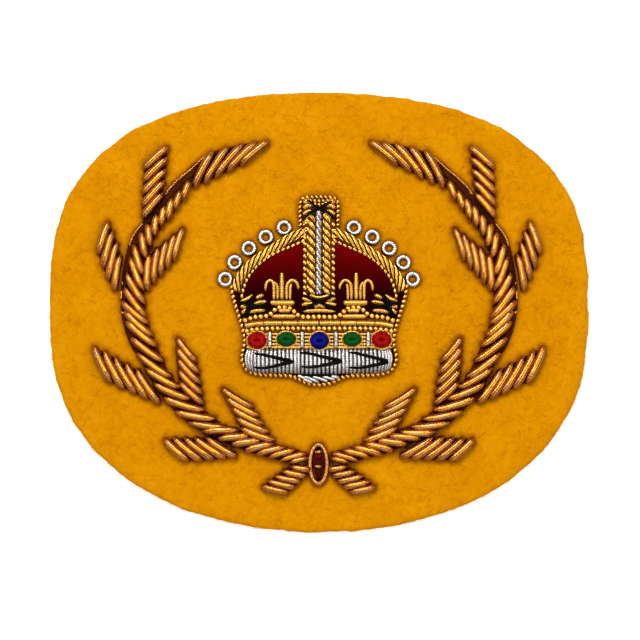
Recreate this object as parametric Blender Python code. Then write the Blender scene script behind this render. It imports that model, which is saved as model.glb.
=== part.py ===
"""Crown in wreath rank badge: bullion wire embroidery on a patch of felt.

Sizes are in metres. The badge lies flat on its back: +Z comes out of its face, +Y points to the top of
the crown, and the origin is the middle of the felt's underside.
"""

import math
from collections import namedtuple

import bmesh
import bpy
from mathutils import Vector

# The wreath, from leaf tip to leaf tip
WREATH_WIDTH = 0.0698
WREATH_HEIGHT = 0.0543

# The felt patch is cut to a margin outside the wreath
SIDE_MARGIN = 0.0071
TOP_MARGIN = 0.0079
BOTTOM_MARGIN = 0.0064
FELT_THICKNESS = 0.0025
FELT_EDGE_ROUND = 0.0004
TOP_FLATNESS = 2.95
TOP_BULGE = 2.3
BOTTOM_FLATNESS = 2.5
BOTTOM_BULGE = 2.05

# Strips of bullion laid side by side over padding make the wreath
STRIP_LENGTH = 0.0056
LEAF_RELIEF = 0.0017
STEM_RELIEF = 0.0019
CORD_FIRST_STRIP = 13
EDGE_CORD = 0.0005

# The crown's outline cord, measured between its middle lines
CROWN_WIDTH = 0.02707
CROWN_HEIGHT = 0.02924
CROWN_RISE = 0.01672
CROWN_PAD_THICKNESS = 0.0010
CROWN_PAD_ROUND = 0.0003
CROWN_PAD_GAP = 0.00024

# Wires and cords of the crown
PEARL_PURL = 0.00065
ARCH_ROPE_WIDTH = 0.0019
ARCH_ROPE_STRIPS = 15
ARCH_ROPE_LEAN = 32
PILLAR_ROPE_WIDTH = 0.00145
PILLAR_ROPE_STRIPS = 10
PILLAR_ROPE_LEAN = 36
ROPE_RELIEF = 0.0009
SILVER_CORD = 0.00086
BAND_BAR = 0.00078
BAND_DROOP = 0.0002
TENT_RISE = 0.00145

# Pieces set on the crown
FLEUR_PURL = 0.00072
FLEUR_HEIGHT = 0.0047
FLEUR_HOOK_RADIUS = 0.00083
FLEUR_BAR_WIDTH = 0.0040
CROSS_WIDTH = 0.0053
CROSS_HEIGHT = 0.0026
SIDE_CROSS_WIDTH = 0.0041
CROSS_PURL = 0.0006
BACKING_THICKNESS = 0.0003
JEWEL_WIDTH = 0.0030
JEWEL_HEIGHT = 0.0025
JEWEL_DOME = 0.0009
JEWEL_BED_HEIGHT = 0.0027
JEWEL_BED_THICKNESS = 0.0004
BED_BAR = 0.00055
ERMINE_HEIGHT = 0.0035
ERMINE_RELIEF = 0.0010
ERMINE_STRIPS = 26
ERMINE_CORNER = 0.22
DROP_STRIPS = 4
DROP_LEAN = 40

# Silver rings that stand along the arches
RING_DIAMETER = 0.00244
RING_WIRE = 0.00062
FIRST_RING = 0.0023
LAST_RING = 0.0023
RINGS_A_SIDE = 5

# The tie where the two branches cross
TIE_WIDTH = 0.0027
TIE_HEIGHT = 0.0067
TIE_WIRE = 0.00045
TIE_DOME = 0.0008
TIE_RISE = 0.0044

# Gaps between neighbours, upwards and sideways
SEAT_GAP = 0.00025
SIDE_GAP = 0.00018

# Facets. The sections of a wire lie WIRE_STEP of its diameters apart, and TENT_STEP over a tent.
FELT_SIDES = 64
WIRE_STEP = 2.8
TENT_STEP = 2.0
TUBE_SIDES = 6
RING_SIDES = 10
RING_WIRE_SIDES = 5
JEWEL_SIDES = 12
TIE_SIDES = 20
CORD_SIDES = 5
SILVER_CORD_SIDES = 8

FELT_TOP = FELT_THICKNESS
FELT_SEAT = FELT_TOP + SEAT_GAP
PAD_TOP = FELT_SEAT + CROWN_PAD_THICKNESS
PAD_SEAT = PAD_TOP + SEAT_GAP
FELT_HEIGHT = WREATH_HEIGHT + TOP_MARGIN + BOTTOM_MARGIN
FELT_WIDTH = WREATH_WIDTH + 2 * SIDE_MARGIN
WREATH_BOTTOM = -FELT_HEIGHT / 2 + BOTTOM_MARGIN
CROWN_BOTTOM = WREATH_BOTTOM + CROWN_RISE

# Each leaf of the left branch, from the strip at its base to the strip at its tip. x is a share of half
# the wreath's width, outwards, and y of its height, upwards. turn is the strip's angle from +X in
# degrees, and long its length in STRIP_LENGTHs. swell lengthens the middle strips.
LEAF_COLUMNS = "name base_x base_y tip_x tip_y base_turn tip_turn base_long tip_long swell strips"
Leaf = namedtuple("Leaf", LEAF_COLUMNS)
LEAVES = (
    Leaf("leaf_top", 0.512, 0.923, 0.286, 0.970, 62, 39, 1.14, 0.99, 0.15, 5),
    Leaf("leaf_upper_outer", 0.739, 0.819, 0.723, 0.956, 51, 43, 0.87, 0.88, 0.05, 5),
    Leaf("leaf_middle_outer", 0.895, 0.628, 0.956, 0.728, 80, 72, 1.01, 0.91, 0.10, 4),
    Leaf("leaf_middle_inner", 0.758, 0.628, 0.623, 0.710, 86, 73, 1.00, 0.98, 0.03, 5),
    Leaf("leaf_lower_outer", 0.759, 0.304, 0.961, 0.367, -55, -64, 1.13, 1.11, 0.06, 5),
    Leaf("leaf_lower_inner", 0.565, 0.285, 0.588, 0.409, -42, -50, 0.94, 0.87, 0.07, 5),
    Leaf("leaf_foot_outer", 0.433, 0.130, 0.634, 0.123, -31, -41, 1.03, 0.89, 0.06, 5),
    Leaf("leaf_foot_inner", 0.272, 0.167, 0.362, 0.271, -21, -32, 0.98, 1.01, 0.04, 5),
    Leaf("leaf_stalk_end", 0.082, 0.070, 0.195, 0.010, -9, -13, 0.51, 0.73, 0.10, 5),
)

# The left branch's stem, strip by strip from the tie to the top leaf. x, y, turn and long are as for a
# leaf.
StemStrip = namedtuple("StemStrip", "x y turn long")
STEM = (
    StemStrip(0.091, 0.090, 13, 0.49),
    StemStrip(0.114, 0.099, 15, 0.77),
    StemStrip(0.163, 0.109, 14, 0.74),
    StemStrip(0.214, 0.117, 12, 0.80),
    StemStrip(0.267, 0.127, 12, 0.80),
    StemStrip(0.325, 0.140, 7, 0.84),
    StemStrip(0.380, 0.154, 5, 0.88),
    StemStrip(0.439, 0.173, 0, 0.97),
    StemStrip(0.494, 0.194, -6, 1.07),
    StemStrip(0.548, 0.222, -11, 1.16),
    StemStrip(0.600, 0.254, -18, 1.22),
    StemStrip(0.653, 0.290, -24, 1.17),
    StemStrip(0.693, 0.327, -29, 1.11),
    StemStrip(0.730, 0.364, -36, 1.15),
    StemStrip(0.761, 0.409, -37, 1.12),
    StemStrip(0.786, 0.454, -40, 1.11),
    StemStrip(0.800, 0.483, -43, 1.03),
    StemStrip(0.816, 0.515, -42, 0.96),
    StemStrip(0.816, 0.545, -54, 1.08),
    StemStrip(0.815, 0.584, -59, 1.01),
    StemStrip(0.809, 0.626, -69, 0.98),
    StemStrip(0.801, 0.664, -75, 0.86),
    StemStrip(0.778, 0.706, -81, 0.68),
    StemStrip(0.754, 0.736, -85, 0.59),
    StemStrip(0.726, 0.764, -95, 0.57),
    StemStrip(0.694, 0.790, -99, 0.55),
    StemStrip(0.662, 0.810, -102, 0.57),
    StemStrip(0.628, 0.835, -109, 0.51),
    StemStrip(0.591, 0.863, -111, 0.49),
)

# The crown's edge from the middle of its base, round the left side, to the top, and the middle of the
# rope on its left arch. x is a share of half the crown's width and y of its height.
EdgePoint = namedtuple("EdgePoint", "x y")
BASE_EDGE = (
    EdgePoint(0.000, 0.000),
    EdgePoint(0.103, 0.005),
    EdgePoint(0.184, 0.019),
    EdgePoint(0.253, 0.035),
    EdgePoint(0.356, 0.048),
    EdgePoint(0.540, 0.051),
    EdgePoint(0.701, 0.056),
    EdgePoint(0.805, 0.072),
    EdgePoint(0.862, 0.100),
    EdgePoint(0.885, 0.141),
    EdgePoint(0.868, 0.184),
    EdgePoint(0.851, 0.226),
    EdgePoint(0.862, 0.274),
    EdgePoint(0.885, 0.316),
    EdgePoint(0.925, 0.375),
    EdgePoint(0.966, 0.434),
    EdgePoint(0.996, 0.490),
    EdgePoint(0.998, 0.520),
)
ARCH_EDGE = (
    EdgePoint(0.977, 0.556),
    EdgePoint(0.908, 0.606),
    EdgePoint(0.828, 0.654),
    EdgePoint(0.724, 0.699),
    EdgePoint(0.609, 0.734),
    EdgePoint(0.483, 0.766),
    EdgePoint(0.356, 0.795),
    EdgePoint(0.207, 0.824),
)
ARCH_ROPE = (
    EdgePoint(0.184, 0.811),
    EdgePoint(0.333, 0.779),
    EdgePoint(0.483, 0.736),
    EdgePoint(0.632, 0.691),
    EdgePoint(0.770, 0.646),
    EdgePoint(0.874, 0.593),
    EdgePoint(0.937, 0.539),
    EdgePoint(0.952, 0.497),
    EdgePoint(0.945, 0.462),
)
BLOCK_EDGE = (
    EdgePoint(0.207, 0.824),
    EdgePoint(0.213, 0.864),
    EdgePoint(0.213, 0.918),
    EdgePoint(0.207, 0.960),
    EdgePoint(0.172, 0.984),
    EdgePoint(0.103, 0.997),
    EdgePoint(0.000, 1.000),
)

# Places on the crown: across from the middle, as a share of half its width, and up, of its height
FLEUR_SHARE = 0.431
BAND_SHARE = 0.327
PILLAR_TOP_SHARE = 0.888
SILVER_CORD_TOP_SHARE = 0.922
TOP_CROSS_SHARE = 0.963
DROP_SHARE = 0.184
DROOP_SHARES = (-1, -0.7, 0, 0.7, 1)
JEWEL_SHARES = (-0.717, -0.373, 0.0, 0.373, 0.717)
JEWEL_NAMES = ("jewel_red_left", "jewel_green_left", "jewel_blue", "jewel_green_right", "jewel_red_right")

# The tent of the upper purl over a foot: out from its middle in half feet, and up in TENT_RISEs
TentRow = namedtuple("TentRow", "out up")
TENT = (TentRow(2.32, 0.0), TentRow(1.61, 0.18), TentRow(0.5, 0.89), TentRow(0.0, 1.0))

# A padded oval from its rim to its crest: out as a share of its half width, and up of its rise
DomeRow = namedtuple("DomeRow", "out up")
DOME = (DomeRow(0.94, 0.0), DomeRow(1.0, 0.28), DomeRow(0.82, 0.70), DomeRow(0.45, 0.95))

# The lines along a strip's back, as shares of the way out to its valleys, and its height there and at the
# valleys. The last two are where back and valley start, level off, dip and stop along the strip's length.
BROAD_BACK_SHARES = (-0.42, 0.42)
NARROW_BACK_SHARES = (0.0,)
VALLEY_SHARE = 0.48
BACK_SHARES = (0.0, 0.20, 0.80, 1.0)
VALLEY_END_SHARES = (0.10, 0.26, 0.74, 0.90)

SIDES = (("left", -1), ("right", 1))


def clear_scene():
    for item in list(bpy.data.objects):
        bpy.data.objects.remove(item, do_unlink=True)


def make_material(name, colour, roughness, metallic):
    """A Principled material with the piece's colour and gloss."""
    material = bpy.data.materials.new(name)
    material.use_nodes = True
    shader = material.node_tree.nodes["Principled BSDF"]
    shader.inputs["Base Color"].default_value = (*colour, 1.0)
    shader.inputs["Roughness"].default_value = roughness
    shader.inputs["Metallic"].default_value = metallic
    return material


def finished(name, builder, material):
    """Turns a bmesh into a named object whose faces point out."""
    bmesh.ops.recalc_face_normals(builder, faces=builder.faces)
    mesh = bpy.data.meshes.new(name)
    builder.to_mesh(mesh)
    builder.free()
    piece = bpy.data.objects.new(name, mesh)
    mesh.materials.append(material)
    bpy.context.scene.collection.objects.link(piece)
    return piece


def fuse(name, pieces):
    """Joins overlapping solids into one body with Boolean unions."""
    first, *others = pieces
    for other in others:
        union = first.modifiers.new("union", "BOOLEAN")
        union.operation = "UNION"
        union.solver = "EXACT"
        union.object = other
    graph = bpy.context.evaluated_depsgraph_get()
    mesh = bpy.data.meshes.new_from_object(first.evaluated_get(graph))
    first.modifiers.clear()
    first.data = mesh
    for other in others:
        bpy.data.objects.remove(other, do_unlink=True)
    first.name = name
    return first


def smooth_path(points, spacing):
    """Even points about spacing apart on a smooth curve through the given ones."""
    knots = [Vector(point) for point in points]
    knots = [2 * knots[0] - knots[1], *knots, 2 * knots[-1] - knots[-2]]
    fine = []
    steps = 12
    for before, start, end, after in zip(knots, knots[1:], knots[2:], knots[3:]):
        for step in range(steps):
            t = step / steps
            fine.append(
                0.5
                * (
                    2 * start
                    + (end - before) * t
                    + (2 * before - 5 * start + 4 * end - after) * t**2
                    + (3 * start - before - 3 * end + after) * t**3
                )
            )
    fine.append(knots[-2])
    count = max(1, round(path_length(fine) / spacing))
    return [point_along(fine, i / count) for i in range(count + 1)]


def path_length(path):
    return sum((b - a).length for a, b in zip(path, path[1:]))


def point_along(path, share):
    """The point at this share of a path's length."""
    left = share * path_length(path)
    for a, b in zip(path, path[1:]):
        span = (b - a).length
        if left <= span and span > 0:
            return a.lerp(b, left / span)
        left -= span
    return path[-1].copy()


def left_normals(path, closed=False):
    """At each point of a flat path, the unit normal to the left of the way it runs."""
    normals = []
    last = len(path) - 1
    for i in range(len(path)):
        before = path[i - 1] if i > 0 or closed else path[0]
        after = path[(i + 1) % len(path)] if i < last or closed else path[last]
        along = after - before
        normals.append(Vector((-along.y, along.x)).normalized())
    return normals


def offset_path(path, distance, closed=False):
    """The path moved to its left by a distance."""
    return [p + n * distance for p, n in zip(path, left_normals(path, closed))]


def mirrored(points):
    return [Vector((-p.x, p.y)) for p in points]


def wreath_point(x, y):
    """A place on the left branch, from shares of the wreath's size."""
    return Vector((-x * WREATH_WIDTH / 2, WREATH_BOTTOM + y * WREATH_HEIGHT))


def crown_point(x, y):
    """A place on the crown's left side, from shares of the crown's size."""
    return Vector((-x * CROWN_WIDTH / 2, CROWN_BOTTOM + y * CROWN_HEIGHT))


def edge_points(rows):
    return [crown_point(row.x, row.y) for row in rows]


def strip(centre, turn, length):
    """One strip of bullion seen from above: its two ends."""
    reach = Vector((math.cos(math.radians(turn)), math.sin(math.radians(turn)))) * length / 2
    return centre - reach, centre + reach


def along_strip(ends, shares):
    return [ends[0].lerp(ends[1], share) for share in shares]


def midway(one, other, share=0.5):
    return [a.lerp(b, share) for a, b in zip(one, other)]


def strip_field(name, strips, seat, relief, back, material):
    """Strips lying side by side, fused over their padding: rounded ridges with valleys between them."""
    valleys = []
    for one, other in zip(strips, strips[1:]):
        valleys.append(midway(along_strip(one, VALLEY_END_SHARES), along_strip(other, VALLEY_END_SHARES)))
    first_side = [2 * a - b for a, b in zip(along_strip(strips[0], VALLEY_END_SHARES), valleys[0])]
    last_side = [2 * a - b for a, b in zip(along_strip(strips[-1], VALLEY_END_SHARES), valleys[-1])]
    valleys = [first_side, *valleys, last_side]
    lines = []
    for i, ends in enumerate(strips):
        lines.append((valleys[i], 0.0 if i == 0 else VALLEY_SHARE))
        middle = along_strip(ends, BACK_SHARES)
        for out in back:
            lines.append((midway(middle, valleys[i if out < 0 else i + 1], abs(out)), 1.0))
    lines.append((valleys[-1], 0.0))

    builder = bmesh.new()
    grid = []
    for points, up in lines:
        last = len(points) - 1
        heights = [seat if i in (0, last) else seat + relief * up for i in range(len(points))]
        grid.append([builder.verts.new((p.x, p.y, z)) for p, z in zip(points, heights)])
    for one, other in zip(grid, grid[1:]):
        for i in range(len(one) - 1):
            corners = (one[i], one[i + 1], other[i + 1], other[i])
            rising = one is grid[0] and i == 0 or other is grid[-1] and i == len(one) - 2
            falling = one is grid[0] and i == len(one) - 2 or other is grid[-1] and i == 0
            if rising:
                builder.faces.new((corners[0], corners[1], corners[2]))
                builder.faces.new((corners[0], corners[2], corners[3]))
            elif falling:
                builder.faces.new((corners[0], corners[1], corners[3]))
                builder.faces.new((corners[1], corners[2], corners[3]))
            else:
                builder.faces.new(corners)
    rim = grid[0] + [line[-1] for line in grid[1:-1]] + grid[-1][::-1] + [line[0] for line in grid[-2:0:-1]]
    builder.faces.new(rim)
    return finished(name, builder, material)


def tube(name, path, diameter, middle, material, sides=TUBE_SIDES, closed=False):
    """A round wire along a flat path, its middle at one height. Open ends are rounded off."""
    radius = diameter / 2
    if not closed:
        start = path[0] + (path[0] - path[1]).normalized() * radius * 0.5
        end = path[-1] + (path[-1] - path[-2]).normalized() * radius * 0.5
        path = [start, *path, end]
    sideways = left_normals(path, closed)
    last = len(path) - 1
    builder = bmesh.new()
    rings = []
    for i, (point, side) in enumerate(zip(path, sideways)):
        size = radius * (0.55 if not closed and i in (0, last) else 1.0)
        ring = []
        for k in range(sides):
            angle = 2 * math.pi * (k + 0.5) / sides
            flat = point + side * size * math.cos(angle)
            ring.append(builder.verts.new((flat.x, flat.y, middle + size * math.sin(angle))))
        rings.append(ring)
    pairs = list(zip(rings, rings[1:] + rings[:1])) if closed else list(zip(rings, rings[1:]))
    for one, other in pairs:
        for k in range(sides):
            after = (k + 1) % sides
            builder.faces.new((one[k], one[after], other[after], other[k]))
    if not closed:
        builder.faces.new(rings[0])
        builder.faces.new(rings[-1])
    return finished(name, builder, material)


def plate(name, outline, low, high, material, top_round=0.0, bottom_round=0.0):
    """A flat sheet of any outline, its edges eased by a chamfer. The outline runs anticlockwise."""
    levels = []
    if bottom_round:
        levels.append((offset_path(outline, bottom_round, closed=True), low))
        levels.append((outline, low + bottom_round))
    else:
        levels.append((outline, low))
    if top_round:
        levels.append((outline, high - top_round))
        levels.append((offset_path(outline, top_round, closed=True), high))
    else:
        levels.append((outline, high))
    builder = bmesh.new()
    rings = [[builder.verts.new((p.x, p.y, z)) for p in points] for points, z in levels]
    for one, other in zip(rings, rings[1:]):
        for i in range(len(one)):
            after = (i + 1) % len(one)
            builder.faces.new((one[i], one[after], other[after], other[i]))
    builder.faces.new(rings[0])
    builder.faces.new(rings[-1])
    return finished(name, builder, material)


def dome(name, centre, width, height, low, rise, material):
    """An oval cushion with a flat underside, such as a padded jewel."""
    builder = bmesh.new()
    rings = []
    for row in DOME:
        ring = []
        for k in range(JEWEL_SIDES):
            angle = 2 * math.pi * k / JEWEL_SIDES
            x = centre.x + row.out * width / 2 * math.cos(angle)
            y = centre.y + row.out * height / 2 * math.sin(angle)
            ring.append(builder.verts.new((x, y, low + rise * row.up)))
        rings.append(ring)
    top = builder.verts.new((centre.x, centre.y, low + rise))
    for one, other in zip(rings, rings[1:]):
        for k in range(JEWEL_SIDES):
            after = (k + 1) % JEWEL_SIDES
            builder.faces.new((one[k], one[after], other[after], other[k]))
    for k in range(JEWEL_SIDES):
        builder.faces.new((rings[-1][k], rings[-1][(k + 1) % JEWEL_SIDES], top))
    builder.faces.new(rings[0])
    return finished(name, builder, material)


def make_felt(material):
    """The patch: squarer at the top corners than at the bottom ones."""
    outline = []
    for k in range(FELT_SIDES):
        angle = 2 * math.pi * k / FELT_SIDES
        across, up = math.cos(angle), math.sin(angle)
        bulge, flatness = (TOP_BULGE, TOP_FLATNESS) if up > 0 else (BOTTOM_BULGE, BOTTOM_FLATNESS)
        x = math.copysign(abs(across) ** (2 / bulge), across) * FELT_WIDTH / 2
        y = math.copysign(abs(up) ** (2 / flatness), up) * FELT_HEIGHT / 2
        outline.append(Vector((x, y)))
    plate("felt_patch", outline, 0.0, FELT_TOP, material, FELT_EDGE_ROUND, FELT_EDGE_ROUND)


def placed(ends, side):
    """A strip of the left branch, or its mirror image on the right."""
    return ends if side < 0 else tuple(mirrored(ends))


def leaf_strips(leaf, side):
    base = wreath_point(leaf.base_x, leaf.base_y)
    tip = wreath_point(leaf.tip_x, leaf.tip_y)
    strips = []
    for i in range(leaf.strips):
        t = i / (leaf.strips - 1)
        turn = leaf.base_turn + (leaf.tip_turn - leaf.base_turn) * t
        long = leaf.base_long + (leaf.tip_long - leaf.base_long) * t + leaf.swell * 4 * t * (1 - t)
        strips.append(placed(strip(base.lerp(tip, t), turn, long * STRIP_LENGTH), side))
    return strips


def make_leaves(material):
    for side_name, side in SIDES:
        for leaf in LEAVES:
            name = leaf.name + "_" + side_name
            strip_field(name, leaf_strips(leaf, side), FELT_SEAT, LEAF_RELIEF, BROAD_BACK_SHARES, material)


def make_stems(gold, maroon):
    """Strips over the spine, and the edge cord that lies along their outer ends."""
    strips = [strip(wreath_point(row.x, row.y), row.turn, row.long * STRIP_LENGTH) for row in STEM]
    outer_ends = [ends[0] for ends in strips[CORD_FIRST_STRIP:]]
    cord = offset_path(smooth_path(outer_ends, STRIP_LENGTH / 3), EDGE_CORD / 2 + SIDE_GAP)
    for side_name, side in SIDES:
        field = [placed(ends, side) for ends in strips]
        strip_field("stem_" + side_name, field, FELT_SEAT, STEM_RELIEF, BROAD_BACK_SHARES, gold)
        path = cord if side < 0 else mirrored(cord)
        tube("stem_cord_" + side_name, path, EDGE_CORD, FELT_SEAT + EDGE_CORD / 2, maroon, sides=CORD_SIDES)


def make_tie(gold, maroon):
    """An oval loop of wire round a padded lozenge, where the branches cross."""
    middle = Vector((0.0, WREATH_BOTTOM + TIE_RISE))
    loop = []
    for k in range(TIE_SIDES):
        angle = 2 * math.pi * k / TIE_SIDES
        x = (TIE_WIDTH - TIE_WIRE) / 2 * math.cos(angle)
        y = (TIE_HEIGHT - TIE_WIRE) / 2 * math.sin(angle)
        loop.append(middle + Vector((x, y)))
    tube("tie_loop", loop, TIE_WIRE, FELT_SEAT + TIE_WIRE / 2, gold, closed=True)
    rim = 2 * (TIE_WIRE + SIDE_GAP)
    dome("tie_padding", middle, TIE_WIDTH - rim, TIE_HEIGHT - rim, FELT_SEAT, TIE_DOME, maroon)


def both_sides(left):
    """A path down the left and up the right, joined at the middle where the left path starts."""
    return left[::-1] + mirrored(left[1:])


def make_crown_pad(material):
    """The padded ground under the crown, inside the outline cord."""
    left = []
    for rows in (BASE_EDGE, (BASE_EDGE[-1], *ARCH_EDGE[1:]), BLOCK_EDGE):
        left += smooth_path(edge_points(rows), WIRE_STEP * PEARL_PURL)[bool(left) :]
    left[0].x = left[-1].x = 0.0
    outline = left[::-1] + mirrored(left[1:-1])
    inset = offset_path(outline, PEARL_PURL / 2 + CROWN_PAD_GAP, closed=True)
    plate("velvet_pad", inset, FELT_SEAT, PAD_TOP, material, CROWN_PAD_ROUND)


def make_outline(material):
    """Pearl purl round the base and the shoulders, and round the block at the top."""
    middle = FELT_SEAT + PEARL_PURL / 2
    base = smooth_path(both_sides(edge_points(BASE_EDGE)), WIRE_STEP * PEARL_PURL)
    tube("outline_purl", base, PEARL_PURL, middle, material)
    block = edge_points(BLOCK_EDGE)[::-1]
    block = smooth_path(both_sides(block), WIRE_STEP * PEARL_PURL)
    tube("block_purl", block, PEARL_PURL, middle, material)


def pillar_purl_middle():
    """Each pearl purl of the pillar sits against the outer side of its rope."""
    return SILVER_CORD / 2 + SIDE_GAP + PILLAR_ROPE_WIDTH + PEARL_PURL * 0.25


def pillar_half_width():
    return pillar_purl_middle() + PEARL_PURL / 2


def rope_strips(path, count, width, lean):
    """Short strips across a path, each leaning from it by some degrees, none past its ends."""
    strips = []
    length = width / math.sin(math.radians(lean))
    trim = length / 2 * math.cos(math.radians(lean)) / path_length(path)
    for i in range(count):
        share = trim + (1 - 2 * trim) * i / (count - 1)
        ahead = point_along(path, min(1.0, share + 0.02)) - point_along(path, max(0.0, share - 0.02))
        turn = math.degrees(math.atan2(ahead.y, ahead.x)) + lean
        strips.append(strip(point_along(path, share), turn, length))
    return strips


def make_arches(material):
    """A twisted rope from the pillar to each shoulder, with a pearl purl along its inner side."""
    middle = smooth_path(edge_points(ARCH_ROPE), ARCH_ROPE_WIDTH / 6)
    limit = -(pillar_half_width() + SIDE_GAP)
    inner = offset_path(middle, ARCH_ROPE_WIDTH / 2 + PEARL_PURL * 0.25)
    inner = [p for p in inner if p.x < limit - PEARL_PURL * 0.4]
    inner = smooth_path(inner, WIRE_STEP * PEARL_PURL)
    middle = [p for p in middle if p.x < limit]
    for side_name, side in SIDES:
        strips = rope_strips(middle, ARCH_ROPE_STRIPS, ARCH_ROPE_WIDTH, ARCH_ROPE_LEAN)
        strips = [placed(ends, side) for ends in strips]
        rope = strip_field("arch_rope", strips, PAD_SEAT, ROPE_RELIEF, NARROW_BACK_SHARES, material)
        path = inner if side < 0 else mirrored(inner)
        purl = tube("arch_purl", path, PEARL_PURL, PAD_SEAT + PEARL_PURL / 2, material)
        fuse("arch_" + side_name, [rope, purl])


def cross_low():
    """The height on the badge where the crosses stand, just above the band's upper purl."""
    return band_middle() + BAND_BAR / 2 + PEARL_PURL + 2 * SIDE_GAP


def band_middle():
    return crown_point(0, BAND_SHARE).y


def make_pillar(gold, silver):
    """The upright: a silver cord between two gold ropes, each with a pearl purl outside it."""
    bottom = cross_low() + CROSS_HEIGHT + 2 * SIDE_GAP
    top = crown_point(0, PILLAR_TOP_SHARE).y
    rope_middle = SILVER_CORD / 2 + SIDE_GAP + PILLAR_ROPE_WIDTH / 2
    purl_middle = pillar_purl_middle()
    block_foot = crown_point(0, BLOCK_EDGE[0].y).y
    for side_name, side in SIDES:
        path = [Vector((side * rope_middle, top)), Vector((side * rope_middle, bottom))]
        strips = rope_strips(path, PILLAR_ROPE_STRIPS, PILLAR_ROPE_WIDTH, PILLAR_ROPE_LEAN)
        rope = strip_field("pillar_rope", strips, PAD_SEAT, ROPE_RELIEF, NARROW_BACK_SHARES, gold)
        line = [Vector((side * purl_middle, y)) for y in (bottom + PEARL_PURL, block_foot)]
        purl = tube("pillar_purl", line, PEARL_PURL, PAD_SEAT + PEARL_PURL / 2, gold)
        fuse("pillar_" + side_name, [rope, purl])
    line = [Vector((0, bottom + SILVER_CORD / 2)), crown_point(0, SILVER_CORD_TOP_SHARE)]
    tube("silver_cord", line, SILVER_CORD, PAD_SEAT + SILVER_CORD / 2, silver, sides=SILVER_CORD_SIDES)


def rectangle(low_x, high_x, low_y, high_y):
    corners = ((low_x, low_y), (high_x, low_y), (high_x, high_y), (low_x, high_y))
    return [Vector(corner) for corner in corners]


def bars_on_backing(name, outline, bars, diameter, material):
    """Short purls fused to a thin backing."""
    backing = plate("backing", outline, PAD_SEAT, PAD_SEAT + BACKING_THICKNESS, material)
    middle = PAD_SEAT + diameter / 2
    purls = [tube("bar", [Vector(p) for p in bar], diameter, middle, material) for bar in bars]
    return fuse(name, [backing, *purls])


def make_crosses(material):
    """The cross under the pillar, a half cross at each shoulder, and the cross on the top block."""
    low = cross_low()
    high = low + CROSS_HEIGHT - CROSS_PURL / 2
    base = low + CROSS_PURL / 2
    half = CROSS_WIDTH / 2
    inset = CROSS_PURL
    bars = [
        [(-half + inset, base), (half - inset, base)],
        [(-half + inset / 2, (base * 2 + high) / 3), (half - inset / 2, (base * 2 + high) / 3)],
        [(-half + inset, (base + high * 2) / 3), (half - inset, (base + high * 2) / 3)],
        [(-half + 2 * inset, high), (half - 2 * inset, high)],
    ]
    backing = rectangle(-half + 2 * inset, half - 2 * inset, base, high)
    bars_on_backing("cross_centre", backing, bars, CROSS_PURL, material)
    near = -crown_point(FLEUR_SHARE, 0).x + FLEUR_BAR_WIDTH / 2 + SIDE_GAP
    for side_name, side in SIDES:
        inner, outer = side * (near + CROSS_PURL / 2), side * (near + SIDE_CROSS_WIDTH - CROSS_PURL / 2)
        bars = [
            [(inner, base + CROSS_PURL / 4), (outer - side * CROSS_PURL, base)],
            [(inner, (base + high) / 2), (outer - side * CROSS_PURL / 2, (base + high) / 2)],
            [(inner + side * CROSS_PURL, high), (outer, high - CROSS_PURL / 2)],
        ]
        first, second = sorted((inner + side * CROSS_PURL, outer - side * 2 * CROSS_PURL))
        backing = rectangle(first, second, base, high - CROSS_PURL / 3)
        bars_on_backing("cross_" + side_name, backing, bars, CROSS_PURL, material)
    make_top_cross(material)


def make_top_cross(material):
    """Two short arms a side, bridged over the head of the silver cord."""
    arm = -crown_point(BLOCK_EDGE[2].x, 0).x - PEARL_PURL - CROSS_PURL / 2 - SIDE_GAP
    near = SILVER_CORD / 2 + SIDE_GAP + CROSS_PURL
    top = crown_point(0, TOP_CROSS_SHARE).y
    upper = top - CROSS_PURL
    lower = crown_point(0, PILLAR_TOP_SHARE).y + CROSS_PURL
    bars = [
        [(-arm, upper - CROSS_PURL / 2), (-near, upper), (near, upper), (arm, upper - CROSS_PURL / 2)],
        [(-near, top), (near, top)],
    ]
    backing = rectangle(-near, near, upper, top)
    pieces = [plate("backing", backing, PAD_SEAT, PAD_SEAT + BACKING_THICKNESS, material)]
    for side in (-1, 1):
        first, second = sorted((side * near, side * (arm - CROSS_PURL / 2)))
        outline = rectangle(first, second, lower, upper)
        pieces.append(plate("backing", outline, PAD_SEAT, PAD_SEAT + BACKING_THICKNESS, material))
        bars.append([(side * arm, lower - CROSS_PURL / 4), (side * near, lower + CROSS_PURL / 4)])
    middle = PAD_SEAT + CROSS_PURL / 2
    pieces += [tube("bar", [Vector(p) for p in bar], CROSS_PURL, middle, material) for bar in bars]
    fuse("top_cross", pieces)


def arc_points(centre, radius, start, end, count):
    points = []
    for i in range(count + 1):
        angle = math.radians(start + (end - start) * i / count)
        points.append(centre + Vector((math.cos(angle), math.sin(angle))) * radius)
    return points


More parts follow.
